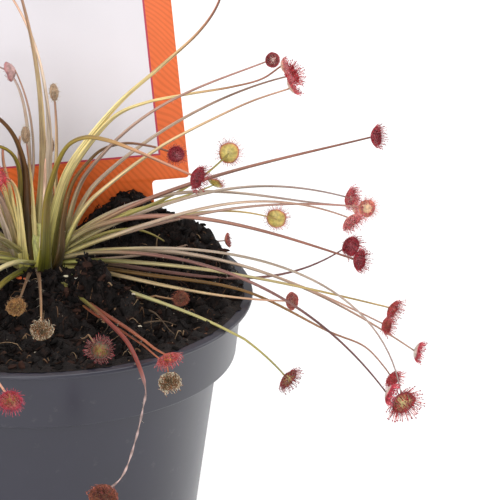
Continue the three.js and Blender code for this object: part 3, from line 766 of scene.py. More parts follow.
def soil_height(x, y, settings):
    """Height of the soil's top at a place, in mm."""
    level = settings.rim_level / MM
    height = level
    for mound in MOUNDS:
        across, along = (x - mound.x) / mound.wide, (y - mound.y) / mound.deep
        height += mound.rise * math.exp(-(across * across + along * along) ** mound.blunt)
    height += RIPPLE * (math.sin(x * 1.3 + y * 0.7) + math.sin(y * 1.7 - x * 0.6))
    height += LUMP_RISE * lumps(x, y, settings.clump / MM) + GRIT_RISE * grit(x, y)
    reach = math.hypot(x, y)
    banked = level + BANK * smoothstep(reach, BANK_START, SOIL_EDGE)
    height = banked + (height - level) * smoothstep(SPILL - reach, 0, 3)
    return max(height, banked) if reach > SOIL_EDGE - 0.4 else height


def build_soil(settings, pot):
    noise.seed_set(PEAT_SEED)
    inset = pot.wall / MM + SOIL_GAP
    low = pot.floor / MM + SOIL_GAP
    ledge = (pot.height - pot.lip_thickness - pot.collar_height) / MM + inset
    level = settings.rim_level / MM
    lip = pot.height / MM + LIP_GAP
    bm = bmesh.new()
    side = wire(bm, [
        (0, 0, low), (pot.base_radius / MM - inset, 0, low), (pot.body_top / MM - inset, 0, ledge),
        (pot.collar_bottom / MM - inset, 0, ledge), (SOIL_EDGE, 0, level), (SOIL_EDGE, 0, lip),
        (SPILL, 0, lip), (SPILL, 0, lip + SOIL_SKIN), (0, 0, lip + SOIL_SKIN),
    ])
    top = [e for e in bm.edges if side[-1] in e.verts]
    bmesh.ops.subdivide_edges(bm, edges=top, cuts=SOIL_RINGS)
    spun(bm, SOIL_STEPS)
    for vert in bm.verts:
        if vert.co.z > lip + SOIL_SKIN / 5:
            if vert.co.xy.length > SOIL_EDGE:
                ragged = 1 + sum(noise.noise(vert.co * rate) * share for rate, share in RAGGED)
                vert.co.x, vert.co.y = vert.co.x * ragged, vert.co.y * ragged
            vert.co.z = soil_height(vert.co.x, vert.co.y, settings)
            loose = smoothstep(SOIL_EDGE - vert.co.xy.length, 0.6, 3)
            loose *= 0.6 + 0.5 * smoothstep(vert.co.z - level, 2, 6)
            vert.co += loose * sum((noise.noise_vector(vert.co * rate) * share
                                    for rate, share in LOOSE), Vector())
    bmesh.ops.recalc_face_normals(bm, faces=bm.faces[:])
    soil = finished(bm, "potting_peat", [peat_material(settings)], "soil")
    smooth(soil.data, 70)


CRUMB_KINDS = 7
CRUMB_TONES = ["0a0706", "170e0c", "2c1b15", "553a2d", "98785c", "d8cab4"]
CRUMB_RANKS = (0.5, 0.76, 0.9, 0.97, 0.991)  # the shares of the crumbs up to each tone's end
BIG_CRUMB = 0.55  # past this size a crumb takes one of the dark tones
CRUMB_REACH, FIBRE_REACH = 42.8, 40  # radii of the rounds that they lie in
CLOD_SHARE = 0.16  # of the crumbs, gathered on the clod
CLOD_X, CLOD_Y, CLOD_WIDE, CLOD_DEEP = 12.5, -10, 0.17, 0.15  # sizes as shares of the soil's
FIBRE_TONES = ["0c0807", "1a110e", "2f1f18", "4c352a", "6c523e", "967c60"]
FIBRE_STEPS = 5
LITTER_TONE, LITTER_GIRTH, LITTER_STEPS = "5c4c3e", 0.24, 16

Bit = namedtuple("Bit", "x y size tone")
BITS = [  # single pale or coloured crumbs
    Bit(8.8, -9.5, 0.4, "e4dccc"),
    Bit(-3.1, -3.5, 0.75, "dc6a3c"),
    Bit(-1.9, -4.4, 0.5, "c85a34"),
    Bit(6.4, -2.6, 0.55, "e0d6b8"),
    Bit(22, -20, 0.4, "d8cab4"),
]
LITTER = [  # bits of dead stalk lying on the soil: points in mm
    ((23.7, -14.2, 77.6), (25.2, -17.6, 78.2), (26.8, -21.8, 78.1), (28, -24.6, 77.7),
     (29.2, -26.2, 77.2)),
    ((13.2, -20.4, 77.4), (14, -21.6, 78.8), (15.2, -22.8, 79), (15.6, -24.6, 78.4),
     (14.8, -26, 77.6)),
    ((22.8, -20.2, 77.2), (24.6, -20.8, 77.8), (27, -20.6, 77.8), (29.4, -21.4, 77.3)),
]


def crumb_meshes(random_):
    """A few rough pebbles of unit radius."""
    meshes = []
    for i in range(CRUMB_KINDS):
        bm = bmesh.new()
        bmesh.ops.create_icosphere(bm, subdivisions=1, radius=1)
        for vert in bm.verts:
            vert.co *= 0.72 + 0.6 * random_.random()
        bmesh.ops.scale(bm, vec=(1.25, 0.55 + 0.06 * i, 0.42), verts=bm.verts[:])
        meshes.append(mesh_of(bm, "crumb"))
    return meshes


def spot_on_soil(random_, settings, reach, clod):
    """A random place on the soil; the clod in front of the crown gets a share of its own."""
    radius = reach * math.sqrt(random_.random())
    angle = random_.random() * math.tau
    x, y = radius * math.cos(angle), radius * math.sin(angle)
    if random_.random() < clod:
        x, y = CLOD_X + x * CLOD_WIDE, CLOD_Y + y * CLOD_DEEP
    return Vector((x, y, soil_height(x, y, settings)))


def build_crumbs(settings):
    random_ = random.Random(SEED)
    stamps = [Stamp(mesh) for mesh in crumb_meshes(random_)]
    bunch = Bunch()
    tones = [tone(code) for code in CRUMB_TONES]
    for _ in range(settings.crumbs):
        spot = spot_on_soil(random_, settings, CRUMB_REACH, CLOD_SHARE)
        size = 0.2 + 0.9 * random_.random() ** 4
        turn = Matrix.Rotation(random_.random() * math.tau, 4, random_.choice("XYZ"))
        spin = Matrix.Rotation(random_.random() * math.tau, 4, "Z")
        place = Matrix.Translation(spot + UP * size * 0.15) @ spin @ turn @ Matrix.Scale(size, 4)
        rank = int(np.searchsorted(CRUMB_RANKS, random_.random()))
        shade = tones[rank if size < BIG_CRUMB else min(rank, 2)]
        stamp = random_.choice(stamps)
        stamp.add_to(bunch, place, tint=[shade * (0.7 + 0.6 * random_.random())] * stamp.count)
    for bit in BITS:
        spot = Vector((bit.x, bit.y, soil_height(bit.x, bit.y, settings) + bit.size * 0.5))
        place = Matrix.Translation(spot) @ Matrix.Scale(bit.size, 4)
        stamps[0].add_to(bunch, place, tint=[tone(bit.tone)] * stamps[0].count)
    crumbs = bunch.finish("peat_crumbs", [fibre_material("Peat crumb")])
    smooth(crumbs.data, 20)
    for stamp in stamps:
        bpy.data.meshes.remove(stamp.mesh)


def fibre(points, girth):
    """A tapering strand of three sides through the points."""
    rings = []
    for j, point in enumerate(points):
        ahead = (points[min(j + 1, len(points) - 1)] - points[max(j - 1, 0)]).normalized()
        side = ahead.cross(UP).normalized()
        top = side.cross(ahead)
        radius = girth * (1 - 0.75 * j / len(points))
        rings.append([point + side * radius * x + top * radius * y
                      for x, y in ((1, -0.5), (0, 1), (-1, -0.5))])
    return swept(rings)


def build_fibres(settings):
    random_ = random.Random(SEED + 1)
    bunch = Bunch()
    tones = [tone(code) for code in FIBRE_TONES]
    for bits in LITTER:
        knots = [Vector(bit) for bit in bits]
        points = [catmull_rom(knots, i / LITTER_STEPS) for i in range(LITTER_STEPS + 1)]
        bm, order = fibre(points, LITTER_GIRTH)
        bunch.take(bm, tint=[tone(LITTER_TONE)] * len(order))
    for _ in range(settings.fibres):
        spot = spot_on_soil(random_, settings, FIBRE_REACH, 0)
        heading = random_.random() * 360
        reach = 1.2 + 5 * random_.random() ** 3
        girth = 0.08 + 0.16 * random_.random() ** 2
        curl = (random_.random() - 0.5) * 160
        lift = 0.3 + 1.8 * random_.random() ** 3
        points = [spot.copy()]
        for step in range(FIBRE_STEPS):
            ahead = direction(heading + curl * step / FIBRE_STEPS, 0)
            point = points[-1] + ahead * reach / FIBRE_STEPS
            if point.xy.length > SOIL_EDGE - 0.3:
                break
            arch = math.sin(math.pi * (step + 1) / FIBRE_STEPS)
            point.z = soil_height(point.x, point.y, settings) + lift * arch * 0.6 + 0.12
            points.append(point)
        if len(points) < 4:  # it would hang over the edge
            continue
        bm, order = fibre(points, girth)
        shade = tones[min(int(len(tones) * random_.random() ** 3), len(tones) - 1)]
        bunch.take(bm, tint=[shade] * len(order))
    bunch.finish("root_fibres", [fibre_material()])


# ---- Label ----

LABEL_LEAN = 5.3  # degrees, to the left
LABEL_SHOULDER = (2.2, 28, 88)  # middle of the head's lower edge
STAKE_TIP = 3  # half the width of the stake's tip
CARD_ROUNDING = 0.12


def build_label(settings):
    head, neck = settings.head_width / 2 / MM, settings.neck_width / 2 / MM
    top, taper = settings.head_height / MM, -settings.neck_depth / MM
    tip = taper - settings.stake_depth / MM
    corner, thick = settings.corner / MM, settings.thickness / MM
    right = [(STAKE_TIP, tip), (neck, taper), (neck, 0), (head, 0), (head, top)]
    outline = right + [(-x, z) for x, z in reversed(right)]
    bm = bmesh.new()
    verts = [bm.verts.new((x, -thick / 2, z)) for x, z in outline]
    bm.faces.new(verts)
    bevelled(bm, [v for v in verts if v.co.z > taper / 2], corner, 8)
    grown = bmesh.ops.extrude_face_region(bm, geom=bm.faces[:])["geom"]
    far = [g for g in grown if isinstance(g, bmesh.types.BMVert)]
    bmesh.ops.translate(bm, vec=(0, thick, 0), verts=far)
    bmesh.ops.recalc_face_normals(bm, faces=bm.faces[:])
    rim = [e for e in bm.edges if abs(e.verts[0].co.y - e.verts[1].co.y) < thick / 2]
    bevelled(bm, rim, CARD_ROUNDING, 2, "EDGES")
    card = bm.loops.layers.uv.new("card")
    for face in bm.faces:
        for loop in face.loops:
            loop[card].uv = (loop.vert.co.x * MM, loop.vert.co.z * MM)
    bm.transform(Matrix.Rotation(-math.radians(LABEL_LEAN), 4, "Y"))
    bm.transform(Matrix.Translation(LABEL_SHOULDER))
    label = finished(bm, "stuck_label", [card_material(settings)], "plant_label")
    smooth(label.data, 30)


# ---- Stalks ----

CROWN = Vector((0, 5, 81.2))  # where the stalks spring from
START = 2.2  # from the crown's middle to the start of a stalk's curve
TRAP_DEPTH = 0.2  # of the cup behind its rim, as a share of the trap's radius
SECTION = 12  # points round a stalk
KINK = 0.68  # share of the way down the dead leaf's stalk where it is bent and shrivels
GROOVE = 0.34  # depth of the channel on a stalk's upper side, as a share of its half height
CROWN_TONES, BUD_TONE, WOOL_TONE = ("6c6440", "a4a464"), "947a60", "cfc4ac"
CROWN_STEPS, BUD_STEPS = 40, 14
WOOL_HAIRS = 16  # on a stalk
WOOL_GIRTH, BUD_WOOL_GIRTH, BUD_WOOL = 0.03, 0.045, 0.55  # BUD_WOOL is a bud's hairs' length
REDDENED = ("rust", "thread")  # stalks that are green only near the crown
CROWN_OUTLINE = [(0, 56), (3, 56), (4, 76), (4.6, 80), (4.3, 83), (3.7, 86.5), (2.5, 89.5),
                 (0.9, 91.4), (0, 91.8)]
BUD_OUTLINE = [(0, -1.8), (0.5, -1.4), (0.85, -0.7), (1, 0.2), (0.9, 1), (0.55, 1.8), (0, 2.2)]


def heading_of(leaf_):
    return math.degrees(math.atan2(leaf_.tip.y - CROWN.y, leaf_.tip.x - CROWN.x))


def facing_of(leaf_):
    return direction(*leaf_.face) if leaf_.face else direction(heading_of(leaf_), leaf_.fall)


def stalk_end(leaf_):
    """The back of the trap, or the middle of a bud."""
    if leaf_.kind in TRAPLESS:
        return leaf_.tip.copy()
    return leaf_.tip - facing_of(leaf_) * (TRAP_DEPTH * leaf_.size)


def bezier(a, b, c, d, t):
    s = 1 - t
    return a * s ** 3 + b * 3 * s * s * t + c * 3 * s * t * t + d * t ** 3


def catmull_rom(points, t):
    """A centripetal curve through the points, at t from 0 to 1."""
    place = t * (len(points) - 1)
    i = min(int(place), len(points) - 2)
    before = points[i - 1] if i else points[0] * 2 - points[1]
    after = points[i + 2] if i + 2 < len(points) else points[-1] * 2 - points[-2]
    row = [before, points[i], points[i + 1], after]
    gaps = [max((b - a).length ** 0.5, 1e-4) for a, b in zip(row, row[1:])]
    one = (row[1] - row[0]) / gaps[0] - (row[2] - row[0]) / (gaps[0] + gaps[1]) + (
        row[2] - row[1]) / gaps[1]
    two = (row[2] - row[1]) / gaps[1] - (row[3] - row[1]) / (gaps[1] + gaps[2]) + (
        row[3] - row[2]) / gaps[2]
    one, two = one * gaps[1], two * gaps[1]
    s = place - i
    square, cube = s * s, s * s * s
    return (row[1] * (2 * cube - 3 * square + 1) + one * (cube - 2 * square + s)
            + row[2] * (3 * square - 2 * cube) + two * (cube - square))


def stalk_points(leaf_, steps):
    """Points evenly along the stalk."""
    heading = heading_of(leaf_)
    start = CROWN + direction(heading, leaf_.rise) * START
    end = stalk_end(leaf_)
    if leaf_.via:
        knots = [start, *map(Vector, leaf_.via), end]
        dense = [catmull_rom(knots, i / 400) for i in range(401)]
    else:
        span = (end - start).length
        first = start + direction(heading, leaf_.rise) * leaf_.pull[0] * span
        last = end - direction(heading, leaf_.fall) * leaf_.pull[1] * span
        dense = [bezier(start, first, last, end, i / 200) for i in range(201)]
    run = [0]
    for a, b in zip(dense, dense[1:]):
        run.append(run[-1] + (b - a).length)
    points = []
    for step in range(steps + 1):
        want = run[-1] * step / steps
        i = min(max(int(np.searchsorted(run, want)), 1), len(dense) - 1)
        share = (want - run[i - 1]) / max(run[i] - run[i - 1], 1e-6)
        points.append(dense[i - 1].lerp(dense[i], share))
    return points, run[-1]


def seat_stalk(leaf_, points, long, seat, upright):
    """Moves a stalk's near part round the crown to its seat, and sinks it where it is buried."""
    heading = heading_of(leaf_)
    start = direction(heading, 0) * START * math.cos(math.radians(leaf_.rise))
    shift = direction(seat, 0) * blend(2.6, 4, upright) - start - UP * blend(0.4, 4.5, upright)
    settle = blend(14, 20, upright)  # how far up the stalk that is felt
    for j in range(len(points)):
        share = j / (len(points) - 1)
        points[j] = (points[j] + shift * (1 - smoothstep(share * long, 0, settle))
                     - UP * leaf_.sink * math.sin(math.pi * min(1, share * 1.25)) ** 0.7)


def stalk_rings(leaf_, settings, random_):
    """The stalk's sections, with each point's place in its section and share of the way."""
    steps = settings.steps * (2 if leaf_.via else 1)
    points, long = stalk_points(leaf_, steps)
    heading = heading_of(leaf_)
    seat = heading if leaf_.seat is None else leaf_.seat
    seat = heading + (seat - heading + 180) % 360 - 180
    upright = smoothstep(leaf_.rise, 40, 65)
    seat_stalk(leaf_, points, long, seat, upright)
    far = heading + leaf_.roll + random_.uniform(-18, 18)
    sway = random_.uniform(-0.35, 0.35)
    root, middle = settings.root_width / MM, settings.middle_width / MM
    tip = settings.tip_width / MM
    thick, thin = settings.root_thickness / MM, settings.tip_thickness / MM
    if leaf_.stalk == "dead":
        root, middle, tip, thick = root * 0.5, middle * 0.5, tip * 0.8, thick * 0.6
    rings, grain, shares = [], [], []
    for j, point in enumerate(points):
        share = j / steps
        ahead = (points[min(j + 1, steps)] - points[max(j - 1, 0)]).normalized()
        across = direction(blend(seat, far, smoothstep(share, 0.05, 0.6)) + 90, 0)
        side = (across - ahead * across.dot(ahead)).normalized()
        face = ahead.cross(side)
        sheath = max(0, 1 - share * long / blend(9, 15, upright)) ** 1.3
        taper = share ** 0.9
        width = blend(middle, tip, taper) * leaf_.wide + (root - middle) * sheath
        height = blend(thick, thin, taper) * leaf_.wide
        if leaf_.stalk in REDDENED:
            width *= blend(0.66, 1.15, smoothstep(share, 0.25, 0.55))
        if leaf_.stalk == "thread" and share > KINK - 0.1:
            shrink = smoothstep(share, KINK - 0.02, KINK + 0.02)
            pinch = 0.75 + 0.4 * math.sin(share * 400)
            width, height = blend(width, 0.5 * pinch, shrink), blend(height, 0.3, shrink)
        middle_point = point + side * sway * math.sin(math.pi * share)
        ring = []
        for k in range(SECTION):
            angle = math.tau * k / SECTION
            x, y = math.cos(angle), math.sin(angle)
            groove = GROOVE * max(0, y) * (1 - x * x) ** 2
            local = Vector((x * width / 2, (y - groove) * height / 2, long * share))
            ring.append(middle_point + side * local.x + face * local.y)
            grain.append(local)
            shares.append((share, y, abs(x)))
        rings.append(ring)
    return rings, grain, shares


def stalk_tints(leaf_, shares, long, random_):
    """The stalk's colour at each point, with painted light on its upper side and edges, painted
    shade near the crown, and painted light and shade along the dead thread's twist.
    """
    root, middle, tip = (tone(code) for code in STALK_TONES[leaf_.stalk])
    light = random_.uniform(0.78, 1)
    tints = []
    for share, top, edge in shares:
        if leaf_.stalk in REDDENED and share < 0.5:
            shade = blend(root, middle, smoothstep(share, 0.24, 0.42))
        elif share < 0.4:
            shade = blend(root, middle, smoothstep(share, 0.05, 0.34))
        elif leaf_.stalk == "thread":
            shade = blend(middle, tip, smoothstep(share, KINK - 0.06, KINK + 0.06))
        else:
            shade = blend(middle, tip, smoothstep(share, 0.5, 0.95))
        # painted light and shade: lighter and darker bands along the dead thread stand in for its
        # twist
        if leaf_.stalk == "thread" and share > KINK:
            shade = shade * (0.85 + 0.4 * math.sin(share * 200))
        # painted shade: each stalk is darkened near the crown, on top of its own random brightness
        tone_with_crown_shade = light * blend(0.88, 1, smoothstep(share * long, 3, 24))
        # painted light: the upper side and the edges are made paler, as if lit from above and from
        # behind
        shade = shade * tone_with_crown_shade * (1 + 0.3 * top) * (1 + 0.3 * edge ** 8)
        tints.append(np.clip(shade, 0, 1))
    return tints


def build_crown(bunch):
    """The short stem that the stalks spring from, ridged by their sheaths."""
    bm = bmesh.new()
    wire(bm, [(radius, 0, z) for radius, z in CROWN_OUTLINE])
    bmesh.ops.subdivide_edges(bm, edges=bm.edges[:], cuts=3)
    spun(bm, CROWN_STEPS)
    for vert in bm.verts:
        angle = math.atan2(vert.co.y, vert.co.x)
        swell = 1 + 0.07 * math.sin(angle * 9 + vert.co.z * 0.4)
        vert.co.x *= swell
        vert.co.y *= swell
    bmesh.ops.translate(bm, vec=(CROWN.x, CROWN.y, 0), verts=bm.verts[:])
    low, high = (tone(code) for code in CROWN_TONES)
    tints = [blend(low, high, smoothstep(v.co.z, 77, 82)) for v in bm.verts]
    grain = [v.co.copy() for v in bm.verts]
    bunch.take(bm, tint=tints, strap=grain)


def build_bud(leaf_, bunch, random_):
    """A young leaf still rolled up: a slim egg covered in short hair."""
    bm = bmesh.new()
    wire(bm, [(radius, 0, z) for radius, z in BUD_OUTLINE])
    spun(bm, BUD_STEPS)
    turn = UP.rotation_difference(direction(heading_of(leaf_), leaf_.fall)).to_matrix().to_4x4()
    for vert in bm.verts:
        vert.co *= 1 + 0.12 * noise.noise(vert.co * 1.7 + leaf_.tip)
    place = Matrix.Translation(leaf_.tip) @ turn
    roots = [(v.co.copy(), v.normal.copy()) for v in bm.verts]
    bm.transform(place)
    tints = [tone(BUD_TONE) * random_.uniform(0.7, 1.2) for v in bm.verts]
    grain = [v.co.copy() for v in bm.verts]
    bunch.take(bm, tint=tints, strap=grain)
    return [(place @ co, (place.to_3x3() @ normal).normalized()) for co, normal in roots]


def hair(spot, out, long, girth, sag):
    """A tapering hair of three sides, bent over by its weight."""
    side = out.orthogonal().normalized()
    other = out.cross(side)
    rings = []
    for share in (0, 0.4, 0.75, 1):
        middle = spot + out * long * share - UP * sag * long * share * share
        radius = girth * (1 - 0.85 * share)
        rings.append([middle + (side * math.cos(a) + other * math.sin(a)) * radius
                      for a in (0, math.tau / 3, math.tau * 2 / 3)])
    return swept(rings)


def build_stalks(settings, leaves):
    random_ = random.Random(SEED + 2)
    bunch = Bunch()
    build_crown(bunch)
    wool = []
    for leaf_ in leaves:
        rings, grain, shares = stalk_rings(leaf_, settings, random_)
        bm, order = swept(rings)
        bm.verts.index_update()
        places = [v.index for v in order]
        tints = np.empty((len(order), 3))
        straps = np.empty((len(order), 3))
        tints[places] = stalk_tints(leaf_, shares, grain[-1].z, random_)
        offset = Vector((0, 0, random_.uniform(0, 900)))
        straps[places] = [tuple(point + offset) for point in grain]
        bunch.take(bm, tint=tints, strap=straps)
        if leaf_.kind == "bud":
            wool += [(spot, out, BUD_WOOL, BUD_WOOL_GIRTH)
                     for spot, out in build_bud(leaf_, bunch, random_)]
        for _ in range(WOOL_HAIRS):
            j = random_.randrange(1, int(len(rings) * 0.8))
            k = random_.randrange(SECTION)
            middle = sum(rings[j], Vector()) / SECTION
            out = (rings[j][k] - middle).normalized()
            wool.append((rings[j][k], out, random_.uniform(0.35, 0.9), WOOL_GIRTH))
    for spot, out, long, girth in wool:
        lean = Vector([random_.uniform(-0.5, 0.5) for _ in range(3)])
        bm, order = hair(spot, (out + lean).normalized(), long, girth, 0.25)
        shade = tone(WOOL_TONE) * random_.uniform(0.8, 1.1)
        bunch.take(bm, tint=[shade] * len(order), strap=[v.co.copy() for v in order])
    bunch.finish("leaf_stalks", [stalk_material()], "rosette")


# ---- Traps ----

# How a trap looks. Its tones are those of its back, the middle and edge of its face, its
# tentacles' feet and ends, and the glands on them. Then come how cupped it is, its tentacles'
# lift in degrees, bend and length, the share of its face that they leave bare, and whether it
# has withered to a mat.
Mood = namedtuple("Mood", "tones cup lift bend length bare matted", defaults=(0,))
MOODS = {
    "red": Mood("b0705f c46058 b42c38 c03a44 d04c50 9c1c2c", 0.12, 14, 0.5, 1.15, 0.1),
    "garnet": Mood("a82c38 c0606a 941c2c a42634 b83444 7c1420", 0.3, 14, 0.6, 1.05, 0.35),
    "ring": Mood("a02c38 f0cfc4 8c1824 981e2c a82c38 701018", 0.5, 46, 1.2, 0.6, 0.7),
    "great": Mood("a85448 d8c488 8c2430 a83440 d0584c 981c2c", 0.1, 12, 0.4, 1.2, 0.36),
    "ember": Mood("b46050 c47850 a83838 b84444 cc5450 98202c", 0.16, 24, 0.6, 1.25, 0.1),
    "whiteback": Mood("cabcae b85650 b02c40 c03c4c d0505c 9c1c34", 0.2, 32, 0.7, 1.15, 0),
    "rosy": Mood("c8b09e e2c8b8 b84850 c4545c cc5c60 a02c3c", 0.18, 20, 0.6, 1.1, 0.3),
    "blush": Mood("deb8a0 e2b8a4 d07870 d4807c d47878 b04450", 0.24, 22, 0.7, 0.95, 0.3),
    "apricot": Mood("d8b070 e4c8a0 d88470 dc8c7c d87470 b84450", 0.06, 16, 0.5, 0.85, 0.72),
    "tawny": Mood("b06050 cc8c44 ac4c3c b4504c c46464 98202c", 0.1, 18, 0.6, 0.95, 0.45),
    "crimson": Mood("a04050 9c6438 9c2438 b02c48 c04a60 8c1830", 0.1, 18, 0.6, 0.9, 0.25),
    "folded": Mood("b4908c c09490 a06a6a ac7474 b07878 984c58", 0.45, 62, 1.0, 0.5, 0.2),
    "bristle": Mood("a8a048 7c6418 3c2c18 5c3828 b87874 84242c", 0.04, 12, 0.3, 1.05, 0.3),
    "lemon": Mood("a89c50 ccc478 8c4430 8c3430 a03038 6c1420", 0.08, 16, 0.5, 1, 0.42),
    "lime": Mood("c2b060 8c9038 b45c44 bc6454 c85c64 84202c", 0.1, 12, 0.5, 0.8, 0),
    "shut": Mood("c89078 cc9c84 a04c44 a85448 b46054 7c2428", 0.3, 70, 1.1, 0.5, 0.2),
    "straw": Mood("7c5c3c 8c6c38 a07440 ac8458 c09c74 6c4828", 0.3, 36, 1.2, 0.75, 0, 1),
    # bleached_and_highlit: the pale tentacle ends are partly the withered hairs' own colour and
    # partly a painted highlight
    "bleached_and_highlit": Mood("8c7048 4c3c20 7c6040 b8a078 f0e2cc 7c5434", 0.3, 36, 1.1, 0.95, 0.3, 1),
    "russet": Mood("7c4838 6c4830 80482f 945040 a8604c 5c2820", 0.26, 30, 1.1, 0.9, 0, 1),
}
TENTACLE_RINGS = 4
TENTACLE_BENDS = (0.2, 0.5, 0.8, 1.1, 1.5)
TENTACLE_KINDS = (("rim", 0.05, 0.07), ("row", 0.06, 0.095), ("face", 0.09, 0.15))  # girth, gland
GOLDEN_ANGLE = math.pi * (3 - math.sqrt(5))
DISC_STEPS = 34
TRIANGLE = ((1, 0), (-0.5, 0.87), (-0.5, -0.87))
GLAND = 5.0  # marks a gland's points among a tentacle's shares


def tentacle_mesh(bend, girth, gland):
    """A tentacle of unit length that bends towards -X, with a gland on its end."""
    rings = []
    for step in range(TENTACLE_RINGS):
        share = step / (TENTACLE_RINGS - 1)
        angle = bend * share
        middle = Vector((-(1 - math.cos(angle)) / bend, 0, math.sin(angle) / bend))
        across = Vector((math.cos(angle), 0, math.sin(angle)))
        radius = girth * (1 - 0.5 * share)
        rings.append([middle + across * radius * x + Vector((0, radius * y, 0))
                      for x, y in TRIANGLE])
    bm, order = swept(rings)
    shares = {vert: (i // 3) / (TENTACLE_RINGS - 1) for i, vert in enumerate(order)}
    place = (Matrix.Translation(middle) @ Matrix.Rotation(-bend, 4, "Y")
             @ Matrix.Diagonal((1, 1, 1.5, 1)))
    made = bmesh.ops.create_icosphere(bm, subdivisions=1, radius=gland, matrix=place)
    for vert in made["verts"]:
        shares[vert] = GLAND
        for face in vert.link_faces:
            face.material_index = 1
    along = [shares[vert] for vert in bm.verts]
    return mesh_of(bm, "tentacle"), np.array(along)


def tentacle_stamps():
    """Tentacles by how long they are for their girth, each in several bends."""
    stamps = {}
    for name, girth, gland in TENTACLE_KINDS:
        stamps[name] = []
        for bend in TENTACLE_BENDS:
            mesh, along = tentacle_mesh(bend, girth, gland)
            stamp = Stamp(mesh)
            stamp.along, stamp.bend = along, bend
            stamps[name].append(stamp)
    return stamps


def face_height(radius, cup):
    """Height of the trap's face at a share of its radius."""
    return -0.1 + (0.13 + cup) * radius * radius


DISC = [  # the trap's outline, back then face, as shares of its radius
    (0, -0.22), (0.2, -0.215), (0.42, -0.195), (0.64, -0.155), (0.84, -0.09), (0.96, -0.03),
    (1.0, 0.01), (0.97, 0.035), (0.84, 0.025), (0.64, -0.02), (0.42, -0.06), (0.2, -0.09),
    (0, -0.1),
]


def build_disc(mood, tones, random_):
    """The blade of a trap, facing +Z: its bmesh and tints."""
    bm = bmesh.new()
    wire(bm, [(radius, 0, z) for radius, z in DISC])
    spun(bm, DISC_STEPS)
    back, middle, edge = tones[:3]
    phase = random_.uniform(0, 60)
    tints = []
    for vert in bm.verts:
        radius = vert.co.xy.length
        on_face = vert.co.z > face_height(radius, 0) - 0.05 and radius < 0.99
        angle = math.atan2(vert.co.y, vert.co.x)
        wave = noise.noise(Vector((math.cos(angle) * 1.3 + phase, math.sin(angle) * 1.3, 0)))
        vert.co.z += mood.cup * radius * radius + 0.14 * wave * radius * radius
        swell = 1 + 0.1 * wave
        if mood.matted:
            swell += 0.14 * noise.noise(vert.co * 4 + Vector((phase, 0, 0)))
        vert.co.x *= swell
        vert.co.y *= swell
        if on_face:
            tints.append(blend(middle, edge, smoothstep(radius, 0.3, 0.95)))
        else:
            tints.append(blend(back, edge, smoothstep(radius, 0.75, 1.0)))
    return bm, tints


def tentacle_spots(settings, mood, random_):
    """Where a trap's tentacles stand: their kind, radius, angle, lift and length."""
    rim = settings.rim_length
    rows = [("rim", 0.97, 0, rim), ("rim", 0.9, 12, rim * 0.86), ("row", 0.8, 26, rim * 0.62)]
    spots = []
    for kind, radius, more, long in rows:
        many = round(settings.rim_count * (0.75 + 0.25 * radius))
        shift = random_.random()
        for i in range(many):
            spots.append((kind, radius + random_.uniform(-0.03, 0.03),
                          math.tau * (i + shift + random_.uniform(-0.3, 0.3)) / many,
                          mood.lift + more, long * mood.length))
    for i in range(settings.face_count):
        share = (i + 0.5) / settings.face_count
        radius = 0.76 * math.sqrt(blend(mood.bare ** 2, 1, share))
        spots.append(("face", radius, i * GOLDEN_ANGLE + random_.uniform(-0.2, 0.2),
                      82 - 22 * radius, settings.face_length * (0.8 + 0.5 * radius)))
    return spots


def build_trap(name, leaf_, settings, stamps, materials, random_):
    mood = MOODS[leaf_.mood]
    tones = [tone(code) for code in mood.tones.split()]
    foot, end, gland = tones[3:]
    place = (Matrix.Translation(leaf_.tip)
             @ UP.rotation_difference(facing_of(leaf_)).to_matrix().to_4x4()
             @ Matrix.Rotation(random_.uniform(0, math.tau), 4, "Z")
             @ Matrix.Scale(leaf_.size, 4))
    bunch = Bunch()
    bm, tints = build_disc(mood, tones, random_)
    bm.transform(place)
    bunch.take(bm, tint=tints)
    for kind, radius, angle, lift, long in tentacle_spots(settings, mood, random_):
        lift = math.radians(lift + random_.uniform(-12, 12)) + math.atan(2 * mood.cup * radius)
        outward = Vector((math.cos(angle), math.sin(angle), 0))
        ahead = outward * math.cos(lift) + UP * math.sin(lift)
        over = UP * math.cos(lift) - outward * math.sin(lift)
        turn = Matrix((-over, ahead.cross(-over), ahead)).transposed().to_4x4()
        roll = Matrix.Rotation(random_.uniform(-0.7, 0.7) * (2.5 if mood.matted else 1), 4, "Z")
        wanted = mood.bend * random_.uniform(0.4, 1.6)
        stamp = min(stamps[kind], key=lambda s: abs(s.bend - wanted))
        root = outward * radius + UP * (face_height(radius, mood.cup) - 0.02)
        size = long * random_.uniform(0.62, 1.3)
        spot = place @ Matrix.Translation(root) @ turn @ roll @ Matrix.Scale(size, 4)
        shares = np.clip(stamp.along, 0, 1)[:, None]
        tint = foot * (1 - shares) + end * shares
        tint[stamp.along == GLAND] = gland
        stamp.add_to(bunch, spot, tint=np.clip(tint * random_.uniform(0.6, 1.45), 0, 1))
    bunch.finish(name, materials, name.replace("leaf_", ""))


def build_traps(settings, leaves):
    random_ = random.Random(SEED + 3)
    stamps = tentacle_stamps()
    skin, gland = trap_material("Trap skin", 0.42), gland_material()
    withered = trap_material("Withered skin", 0.7)
    for i, leaf_ in enumerate(l for l in leaves if l.kind not in TRAPLESS):
        materials = [withered, withered] if leaf_.kind == "dry" else [skin, gland]
        build_trap(f"leaf_trap_{i + 1:02d}", leaf_, settings, stamps, materials, random_)
    for row in stamps.values():
        for stamp in row:
            bpy.data.meshes.remove(stamp.mesh)


# ---- All leaves ----

FACTOR, MODULUS = 16807, 2 ** 31 - 1
PALE_SHARE = 0.3  # of the traps on the left


def even_random(seed):
    """Numbers from 0 to 1 in a fixed order, the same that place the left half's leaves."""
    state = seed
    while True:
        state = state * FACTOR % MODULUS
        yield state / MODULUS


